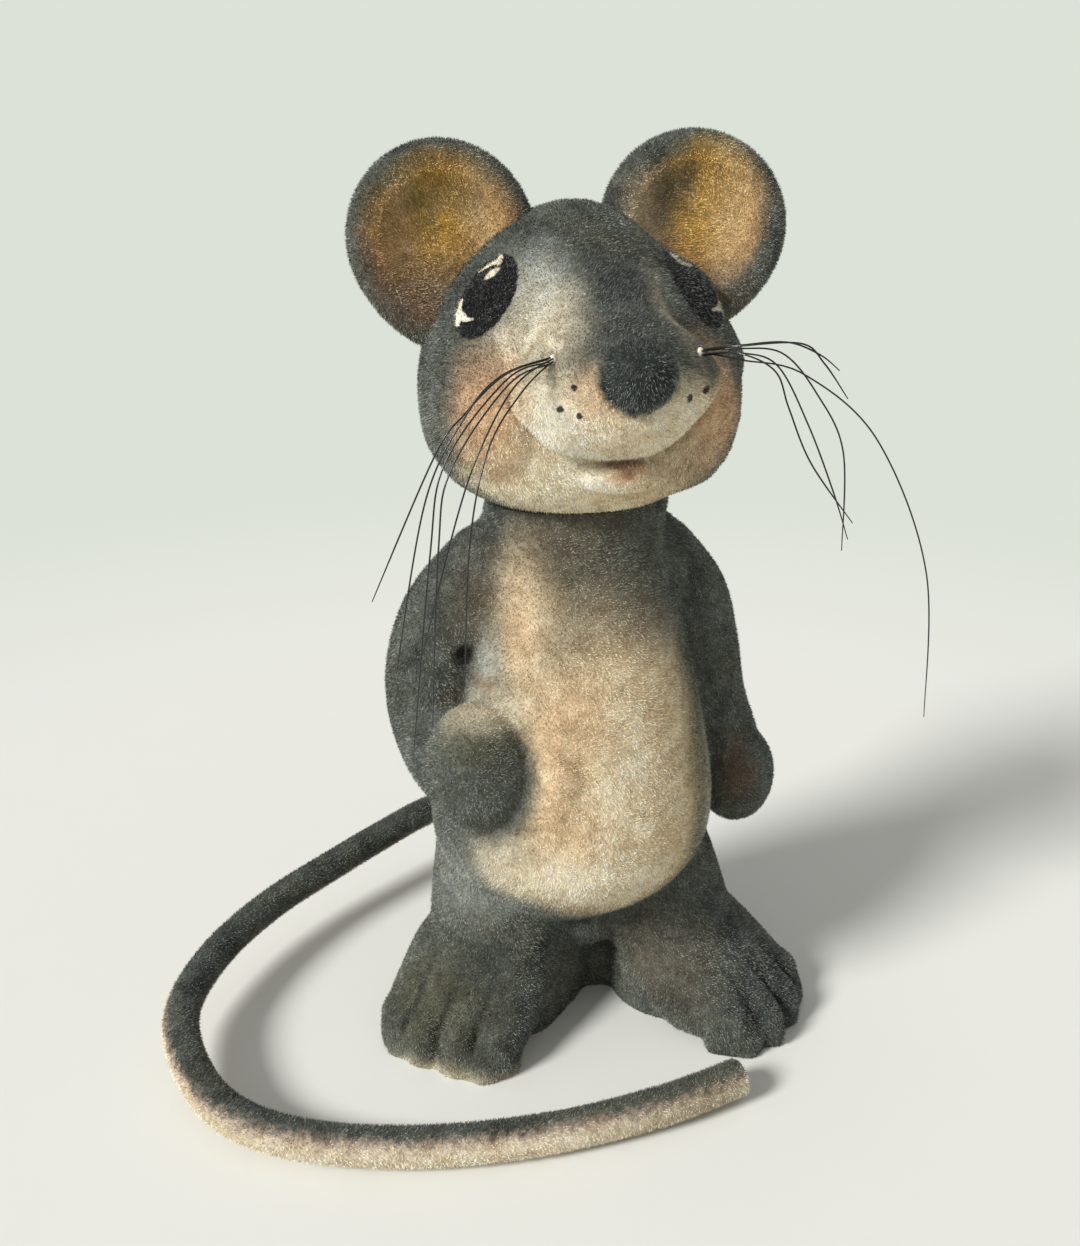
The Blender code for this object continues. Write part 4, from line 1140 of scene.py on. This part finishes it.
def add_foot(bm, place):
    """A wedge from heel to instep, and toes as long rounded rolls side by side."""
    ahead = place.to_3x3() @ Vector((0.0, 1.0, 0.0))
    rings = []
    for share, half_width, height in sampled(FOOT, 16):
        top = height * INSTEP_HEIGHT
        middle = (top - SOLE_DEPTH) / 2
        centre = placed(place, 0.0, (share - 1.0) * FOOT_LENGTH, middle)
        rings.append(ring_across(centre, ahead, half_width * FOOT_WIDTH * MM, (top - middle) * MM))
    sweep(bm, rings, 40)
    width = FOOT_WIDTH / TOES
    for toe in range(TOES):
        offset = (toe - (TOES - 1) / 2) * width
        back = TOE_RADIUS + TOE_CURVE * offset**2 / FOOT_WIDTH
        tip = placed(place, offset, -back, TOE_HEIGHT - TOE_RADIUS)
        knuckle = placed(place, offset * 0.85, -back - TOE_LENGTH, KNUCKLE_HEIGHT - TOE_RADIUS)
        under = Vector((tip.x, tip.y, 0.0))
        for start, end in ((knuckle, tip), (tip, under)):
            rolled(bm, [start, end], [TOE_RADIUS * MM] * 2, 24)


def toe_grooves(place, count):
    """The lines between the toes, from the instep over the front to the floor, as rows of points."""
    for gap in range(1, TOES):
        offset = (gap - TOES / 2) * FOOT_WIDTH / TOES
        front = -TOE_CURVE * offset**2 / FOOT_WIDTH
        line = [(offset * (1.0 + 0.008 * y), y + front, z) for y, z in spaced(TOE_GROOVE, count)]
        yield offset, front, [placed(place, *p) for p in line]


def groove_toes(skin, place):
    """Presses the grooves between the toes into a foot."""
    for offset, front, centres in toe_grooves(place, 20):
        creased(skin, centres, placed(place, offset, front - 9.0, 1.0), *TOE_PRESS)


def body_skin(shape):
    """The body's skin: torso, arms, legs and feet."""
    bm = bmesh.new()
    sweep(bm, [upright_ring(*ring) for ring in sampled(TORSO, 36)], 72)
    for keys in (RIGHT_ARM, LEFT_ARM):
        samples = sampled(keys, 24)
        rolled(bm, [point(s[:3]) for s in samples], [s[3] * MM for s in samples])
    for centre, radii in BODY_BALLS:
        ball(bm, point(centre), radii)
    for hip_x, toes_x, toes_y, side in LEGS:
        place = foot_frame(toes_x, toes_y, side)
        heel = placed(place, 0.0, -FOOT_LENGTH * ANKLE_SHARE, 0.0)
        hip = point((hip_x, 0.0, LEG_TOP))
        ankle = Vector((heel.x, heel.y, ANKLE_HEIGHT * MM))
        radii = [LEG_RADIUS * MM, LEG_RADIUS * MM, ANKLE_RADIUS * MM, ANKLE_RADIUS * MM]
        rolled(bm, [hip, hip.lerp(ankle, 0.5), ankle, heel], radii)
        add_foot(bm, place)
    for x, y in sampled(HEELS_JOINED_AT, 7):
        foot = point((x, y, 0.0))
        top = foot + Vector((0.0, 0.0, HEELS_JOINED_HEIGHT * MM))
        rolled(bm, [foot, top], [HEELS_JOINED_RADIUS * MM] * 2)
    skin = melted(bm, "body_skin", shape.body_voxel, shape.softening)
    swollen(skin, [ARM_HOLLOW])
    creased(skin, [point(p) for p in spaced(KNEE_CREASE, 12)], point(INSIDE_KNEE), *KNEE_PRESS)
    for _, toes_x, toes_y, side in LEGS:
        groove_toes(skin, foot_frame(toes_x, toes_y, side))
    swollen(skin, BODY_SWELLS)
    skin = level_cut(skin, 0.0, keep_above=True)
    return level_cut(skin, SHOULDER_HEIGHT, keep_above=False)


def eye_turn(side):
    """The turn of an eye: its local Y runs up the long way of the almond and Z points out of the head."""
    long_way = Vector((side * -0.47, 0.36, 0.80)).normalized()
    out = Vector((side * 0.60, -0.54, 0.59))
    out = (out - long_way * out.dot(long_way)).normalized()
    return Matrix((long_way.cross(out), long_way, out)).transposed()


def head_skin(shape):
    """The head's skin: skull, snout, muzzle, lip and cheeks."""
    bm = bmesh.new()
    skull = sampled(SKULL, 36)
    sweep(bm, [upright_ring(height + HEAD_BASE, w, f, b) for height, w, f, b in skull], 72)
    forward = Vector((0.0, -1.0, 0.0))
    snout = sampled(SNOUT, 20)
    sweep(bm, [ring_across(on_head((0.0, y, h)), forward, w * MM, t * MM) for y, h, w, t in snout], 56)
    for centre, radii in HEAD_BALLS:
        ball(bm, on_head(centre), radii)
    skin = melted(bm, "head_skin", shape.head_voxel, shape.softening)
    swollen(skin, HEAD_SWELLS)
    creased(skin, [point(p) for p in spaced(MUZZLE_CREASE, 42)], point(INSIDE_HEAD), *MUZZLE_PRESS)
    return level_cut(skin, HEAD_BASE, keep_above=True)


def ear_frame(side):
    """The matrix of an ear: its cup looks along its own +Z, which faces forward."""
    place, turn, stretch = EARS[side]
    face = Matrix.Rotation(math.radians(turn), 4, "Z") @ Matrix.Rotation(math.pi / 2 - EAR_LEAN, 4, "X")
    return Matrix.Translation(point(place)) @ face @ Matrix.Diagonal((stretch, 1.0, 1.0, 1.0))


def ear_mesh(side, head):
    """A cupped ear spun from its half section and trimmed to the curve of the head."""
    half = EAR_THICKNESS / 2
    floor = half - EAR_CUP
    rim = EAR_RADIUS - EAR_RIM * 1.6
    section = [(0.0, floor)]
    section += [(rim * s, floor + (half - floor) * s**3) for s in EAR_CUP_SHARES]
    angles = [math.pi / 2 - math.pi * i / 12 for i in range(13)]
    section += [(EAR_RADIUS - half + half * math.cos(a), half * math.sin(a)) for a in angles]
    section += [(EAR_RADIUS * s, -half * (1.12 - 0.1 * s)) for s in EAR_BACK_SHARES]
    section.append((0.0, -half * 1.12))
    bm = bmesh.new()
    verts = [bm.verts.new((r * MM, 0.0, z * MM)) for r, z in section]
    edges = [bm.edges.new(pair) for pair in zip(verts, verts[1:])]
    bmesh.ops.spin(
        bm,
        geom=verts + edges,
        cent=(0, 0, 0),
        axis=(0, 0, 1),
        angle=math.tau,
        steps=96,
        use_merge=True,
    )
    bmesh.ops.remove_doubles(bm, verts=bm.verts, dist=1e-6)
    for vert in bm.verts:
        drop = max(0.0, -vert.co.y / (EAR_RADIUS * MM))
        vert.co.y -= EAR_RADIUS * MM * 0.16 * drop**2
        vert.co.x -= side * EAR_RADIUS * MM * 0.10 * drop**2
    bm.transform(ear_frame(side))
    ear = mesh_from(bm, "ear_skin")
    seat = head.copy()
    seat.attributes.remove(seat.attributes["coat"])
    return bored(ear, [seat])


def spot(colour, centre, radii, softness=0.5, strength=1.0, crisp=False, turn=(0.0, 0.0, 0.0)):
    """One airbrushed spot: a colour's name, a centre and radii in millimetres, and how it is laid on."""
    return (colour, centre, radii, softness, strength, crisp, turn)


def stroke(colour, start, end, width, depth, softness, strength):
    """A thin spot from one point to another, square to the line and facing out from the head's middle."""
    start, end = Vector(start), Vector(end)
    long_way = (end - start).normalized()
    out = start - Vector(HEAD_MIDDLE)
    out = (out - long_way * out.dot(long_way)).normalized()
    turn = Matrix((long_way.cross(out), long_way, out)).transposed().to_euler()
    radii = (width, (end - start).length / 2 + width, depth)
    return spot(colour, tuple((start + end) / 2), radii, softness, strength, True, tuple(turn))


def flock_pair(name, spots, stripe=False):
    """The materials of the skin under the fibres and of the fibres themselves."""
    return tuple(
        flock_material(name + part, spots, fibres, stripe)
        for part, fibres in (("_skin", False), ("_fibres", True))
    )


def body_spots():
    """Where the airbrush goes on the body, with painted shade along the grooves between the toes."""
    spots = [spot(*row) for row in BODY_SPOTS]
    for _, toes_x, toes_y, side in LEGS:
        for _, _, line in toe_grooves(foot_frame(toes_x, toes_y, side), 5):
            ends = [(place - AXIS) / MM for place in line]
            # Black strokes along the grooves between the toes are painted shade
            spots += [stroke("black", a, b, 0.8, 3.0, 0.9, 0.55) for a, b in zip(ends, ends[1:])]
    return spots


def head_spots():
    """Where the airbrush goes on the head, with painted shade along and under the muzzle's crease, a painted
    highlight on the lip, and dimmer marks in the eye at +X as painted shade.
    """
    spots = [spot(*row) for row in HEAD_SPOTS]
    # Brown strokes along the muzzle's crease are painted shade
    spots += [
        stroke("brown", start, end, 0.65, 3.0, 0.9, 0.35)
        for start, end in zip(MUZZLE_CREASE[1:7], MUZZLE_CREASE[2:8])
    ]
    spots += [spot("black", centre, radii, 0.3, 0.95, True) for centre, radii in WHISKER_DOTS]
    spots += [spot(*row) for row in NOSE_SPOTS]
    # The eye at +X gets its light marks at 0.55 strength, painted shade for the side away from the key
    for side, strength in ((-1, 1.0), (1, 0.55)):
        spots += eye_spots(side, strength)
    return spots


def eye_spots(side, strength):
    """A black almond with light marks along its outer edge, placed in the eye's own frame."""
    turn = eye_turn(side)
    eye = Vector((side * EYE_AT[0], *EYE_AT[1:])) + turn @ Vector((side * EYE_OUTWARD[side], 0.0, 0.0))
    marks = [spot("black", tuple(eye), EYE_RADII, 0.04, 1.0, True, turn.to_euler())]
    for start, end, width in EYE_MARKS:
        ends = [eye + turn @ Vector((side * out, up, 0.0)) for out, up in (start, end)]
        marks.append(stroke("white", *ends, width, EYE_RADII[2], 0.2, strength))
    return marks


def ear_spots(side):
    """Where the airbrush goes inside an ear, with painted shadow across its bottom; the left one is lighter.
    """
    x, y, z = EARS[side][0]
    face = y - EAR_CUP_AHEAD
    return [spot(tone, (x + out, face, z + up), *rest) for tone, (out, up), *rest in EAR_SPOTS[side]]


class FigurineOperator(bpy.types.Operator):
    """What every building step shares."""

    bl_options = {"REGISTER"}


class FIGURINE_OT_body(FigurineOperator):
    """Sculpts the body casting and grows its flock"""

    bl_idname = "figurine.body"
    bl_label = "Body"

    def execute(self, context):
        coat, shape = context.scene.figurine_coat, context.scene.figurine_shape
        under, over = flock_pair("body_flock", body_spots())
        skin = body_skin(shape)
        coated(skin, off_the_cuts(skin, 0.0, SHOULDER_HEIGHT))
        grow_flock("body_flock", skin, coat.body_fibres, 4, over, FIGURE)
        skin = bored(skin, [neck_bore(SHOULDER_HEIGHT - 16.0, SHOULDER_HEIGHT + 2.0, NECK_HOLE)])
        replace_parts(piece("body_casting", skin, under, FIGURE), "body_shell")
        return {"FINISHED"}


class FIGURINE_OT_head(FigurineOperator):
    """Sculpts the head casting and grows its flock"""

    bl_idname = "figurine.head"
    bl_label = "Head"

    def execute(self, context):
        coat, shape = context.scene.figurine_coat, context.scene.figurine_shape
        under, over = flock_pair("head_flock", head_spots())
        skin = head_skin(shape)
        coated(skin, off_the_cuts(skin, HEAD_BASE, math.inf))
        grow_flock("head_flock", skin, coat.head_fibres, 2, over, HEAD)
        cutters = [
            neck_bore(HEAD_BASE - 2.0, HEAD_BASE + NECK_WALL + 1.0, NECK_HOLE),
            neck_bore(HEAD_BASE + NECK_WALL, HEAD_BASE + 12.0, HEAD_CAVITY),
        ]
        skin = bored(skin, cutters)
        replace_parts(piece("head_casting", skin, under, HEAD), "head_shell")
        return {"FINISHED"}


class FIGURINE_OT_ears(FigurineOperator):
    """Spins both ears, trims them to the head and grows their flock"""

    bl_idname = "figurine.ears"
    bl_label = "Ears"

    def execute(self, context):
        coat = context.scene.figurine_coat
        head = bpy.data.objects["head_casting"].data
        for side, word in ((-1, "right"), (1, "left")):
            under, over = flock_pair(f"ear_{word}_flock", ear_spots(side))
            ear = ear_mesh(side, head)
            coated(ear, [1.0] * len(ear.polygons))
            grow_flock(f"ear_{word}_flock", ear, coat.ear_fibres, 1, over, HEAD)
            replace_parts(piece(f"ear_{word}_disc", ear, under, HEAD), f"ear_{word}")
        return {"FINISHED"}


class FIGURINE_OT_tail(FigurineOperator):
    """Sweeps the tail's sleeve and grows its flock"""

    bl_idname = "figurine.tail"
    bl_label = "Tail"

    def execute(self, context):
        coat = context.scene.figurine_coat
        line = [point(p) for p in spaced(TAIL_ROUTE, TAIL_POINTS)]
        end = line[-1]
        ahead = (line[-1] - line[-2]).normalized()
        radii = [TAIL_RADIUS * MM] * len(line)
        for past, share in TAIL_TIP:
            line.append(end + ahead * past * MM)
            radii.append(TAIL_RADIUS * share * MM)
        bm = bmesh.new()
        sweep(bm, rings_along(line, radii), TAIL_SIDES)
        skin = mesh_from(bm, "tail_skin")
        self.paint_ridge(skin, line)
        socket_end = point(TAIL_SOCKET_END)
        values = []
        for face in skin.polygons:
            x, y, z = face.center
            in_socket = y - socket_end.y < 0 and x > AXIS.x - 0.006 and z > 0.015
            values.append(0.0 if in_socket else 1.0)
        coated(skin, values)
        under, over = flock_pair("tail_flock", [spot(*row) for row in TAIL_SPOTS], stripe=True)
        grow_flock("tail_flock", skin, coat.tail_fibres, 1, over, FIGURE)
        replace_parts(piece("tail_cover", skin, under, FIGURE), "tail_sleeve")
        return {"FINISHED"}

    def paint_ridge(self, skin, line):
        """Stores how far each point faces the ridge, on top and a little inside the tail's sweep."""
        centres = np.array(line)
        co = points_of(skin)
        chosen = np.argmin(((co[:, None, :] - centres[None, :, :]) ** 2).sum(2), axis=1)
        nearest = centres[chosen]
        inward = np.array(point(SWEEP_MIDDLE)) - nearest
        inward[:, 2] = 0.0
        inward /= np.linalg.norm(inward, axis=1)[:, None]
        pole = inward * RIDGE_IN + np.array((0.0, 0.0, RIDGE_UP))
        out = (co - nearest) / (TAIL_RADIUS * MM)
        share = chosen / len(line)
        dark_root = np.clip((ROOT_END - share) / ROOT_FADE, 0.0, 1.0) * ROOT_DARK
        ridge = (out * pole).sum(1) + dark_root
        skin.attributes.new("ridge", "FLOAT", "POINT").data.foreach_set("value", ridge)


class FIGURINE_OT_whiskers(FigurineOperator):
    """Draws the nylon whiskers and the beads of glue at their roots"""

    bl_idname = "figurine.whiskers"
    bl_label = "Whiskers"

    def execute(self, context):
        paint, shape = context.scene.figurine_paint, context.scene.figurine_shape
        nylon = plain_material("black_nylon", paint.nylon, 0.28, {"Coat Weight": 0.2})
        glue = plain_material("clear_glue", paint.cream, 0.25, {"Subsurface Weight": 0.2})
        for side, word in ((-1, "right"), (1, "left")):
            mouth = on_head(WHISKER_ROOTS[side])
            outward = Vector(WHISKERS_START[side]).normalized()
            across = ring_across(Vector(), outward, 1.0, 1.0).to_3x3()
            routes = WHISKERS[side]
            for index, route in enumerate(routes):
                angle = math.tau * (index + 0.5) / len(routes)
                shift = across @ Vector((math.cos(angle), math.sin(angle), 0.0)) * WHISKER_SPREAD * MM
                depth, lead = outward * WHISKER_DEPTH * MM, outward * WHISKER_LEAD * MM
                keys = [mouth - depth + shift, mouth + lead + shift]
                keys = [tuple(k) for k in keys + [on_head(p) for p in route]]
                line = spaced(keys, WHISKER_POINTS)
                radius = shape.whisker_width / 2
                tips = [1 - i / (WHISKER_POINTS - 1) for i in range(WHISKER_POINTS)]
                radii = [radius * min(1.0, 0.6 + 2.2 * tip) for tip in tips]
                bm = bmesh.new()
                sweep(bm, rings_along(line, radii), WHISKER_SIDES)
                name = f"whisker_{word}_{index + 1}"
                filament = piece(f"nylon_{name}", mesh_from(bm, name), nylon, HEAD)
                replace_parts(filament, name)
            bm = bmesh.new()
            ball(bm, mouth - outward * 0.3 * MM, (0.55, 0.55, 0.55))
            ball(bm, mouth + Vector((side * 0.1, -0.1, 0.3)) * MM - outward * 0.35 * MM, (0.45, 0.4, 0.45))
            bead = melted(bm, "glue", 0.15 * MM, 3, 0.0)
            bead.shade_smooth()
            piece(f"whisker_glue_{word}", bead, glue, HEAD)
        return {"FINISHED"}


class FIGURINE_OT_inner_pieces(FigurineOperator):
    """Finishes the neck plug and the tail wire"""

    bl_idname = "figurine.inner_pieces"
    bl_label = "Neck plug and tail wire"

    def execute(self, context):
        paint = context.scene.figurine_paint
        finishes = {
            "neck_plug": plain_material("moulded_plastic", paint.plastic, 0.45),
            "tail_wire": plain_material("soft_steel_wire", paint.steel, 0.35, {"Metallic": 1.0}),
        }
        for name, finish in finishes.items():
            frame["nodes"][name].material_slots[0].material = finish
        return {"FINISHED"}


class FIGURINE_OT_stage(FigurineOperator):
    """Lays the floor, hangs the soft lights and places the camera"""

    bl_idname = "figurine.stage"
    bl_label = "Stage"

    def execute(self, context):
        stage = context.scene.figurine_stage
        self.lay_floor(stage)
        self.light(context, stage)
        self.place_camera(context)
        context.scene.view_settings.view_transform = "Standard"
        return {"FINISHED"}

    def lay_floor(self, stage):
        """A plain pale floor that fades into the backdrop far from the figurine."""
        bm = bmesh.new()
        bmesh.ops.create_grid(bm, x_segments=2, y_segments=2, size=stage.floor_size / 2)
        mesh = mesh_from(bm, "floor")
        floor = linked("floor", mesh)
        made, tree, shader = new_material("pale_floor", FLOOR_SURFACE)
        place = object_place(tree)
        cloud = noise(tree, place, 60.0, 3.0)
        tone = mixed_colour(tree, cloud, [c * 0.985 for c in stage.floor], stage.floor)
        tree.links.new(tone, shader.inputs["Base Color"])
        far = ramp(tree, vector_maths(tree, "LENGTH", place), 0.12, 0.45, shape="SMOOTHSTEP")
        seen = tree.nodes.new("ShaderNodeLightPath").outputs["Is Camera Ray"]
        glow = wired(tree, "ShaderNodeEmission", {"Color": (*stage.backdrop, 1.0)})
        share = maths(tree, "MULTIPLY", far, seen)
        blend = {0: share, 1: shader.outputs["BSDF"], 2: glow.outputs["Emission"]}
        mix = wired(tree, "ShaderNodeMixShader", blend)
        tree.links.new(mix.outputs["Shader"], tree.nodes["Material Output"].inputs["Surface"])
        mesh.materials.append(made)

    def light(self, context, stage):
        """A soft key at the left front and light from all round."""
        lamp = bpy.data.lights.new("key", "SUN")
        lamp.energy = stage.key
        lamp.angle = stage.softness
        key = linked("key", lamp)
        key.rotation_euler = Vector(KEY_FROM).to_track_quat("Z", "Y").to_euler()
        world = bpy.data.worlds.new("studio")
        context.scene.world = world
        world.use_nodes = True
        tree = world.node_tree
        around = tree.nodes["Background"]
        around.inputs["Color"].default_value = (1.0, 1.0, 1.0, 1.0)
        around.inputs["Strength"].default_value = stage.sky
        seen = wired(tree, "ShaderNodeBackground", {"Color": (*stage.backdrop, 1.0), "Strength": 1.0})
        direct = tree.nodes.new("ShaderNodeLightPath").outputs["Is Camera Ray"]
        blend = {0: direct, 1: around.outputs["Background"], 2: seen.outputs["Background"]}
        mix = wired(tree, "ShaderNodeMixShader", blend)
        tree.links.new(mix.outputs["Shader"], tree.nodes["World Output"].inputs["Surface"])

    def place_camera(self, context):
        """The photograph's viewing angle."""
        data = bpy.data.cameras.new("camera")
        data.sensor_width = SENSOR_WIDTH
        data.lens = data.sensor_width * PICTURE_WIDTH / PICTURE_HEIGHT
        data.clip_start = 0.001
        camera = linked("camera", data)
        camera.location = point(CAMERA_AT)
        camera.rotation_euler = Euler(CAMERA_TURN)
        context.scene.camera = camera


STEPS = (
    FIGURINE_OT_stage,
    FIGURINE_OT_body,
    FIGURINE_OT_head,
    FIGURINE_OT_ears,
    FIGURINE_OT_tail,
    FIGURINE_OT_whiskers,
    FIGURINE_OT_inner_pieces,
)


class FIGURINE_PT_sidebar(bpy.types.Panel):
    """Lists the building steps"""

    bl_idname = "FIGURINE_PT_sidebar"
    bl_label = "Flocked rat figurine"
    bl_space_type = "VIEW_3D"
    bl_region_type = "UI"
    bl_category = "Figurine"

    def draw(self, context):
        for step in STEPS:
            self.layout.operator(step.bl_idname)


SETTINGS = {
    "figurine_paint": FigurinePaint,
    "figurine_coat": FigurineCoat,
    "figurine_shape": FigurineShape,
    "figurine_stage": FigurineStage,
}


def register():
    """Registers the settings, the steps and the panel."""
    for name, settings in SETTINGS.items():
        bpy.utils.register_class(settings)
        setattr(bpy.types.Scene, name, bpy.props.PointerProperty(type=settings))
    for item in (*STEPS, FIGURINE_PT_sidebar):
        bpy.utils.register_class(item)


def unregister():
    """Takes back what register did."""
    for item in (FIGURINE_PT_sidebar, *reversed(STEPS)):
        bpy.utils.unregister_class(item)
    for name, settings in SETTINGS.items():
        delattr(bpy.types.Scene, name)
        bpy.utils.unregister_class(settings)


def main():
    """Builds the figurine on its stage."""
    register()
    for step in STEPS:
        group, name = step.bl_idname.split(".")
        getattr(getattr(bpy.ops, group), name)()


if __name__ == "__main__":
    main()
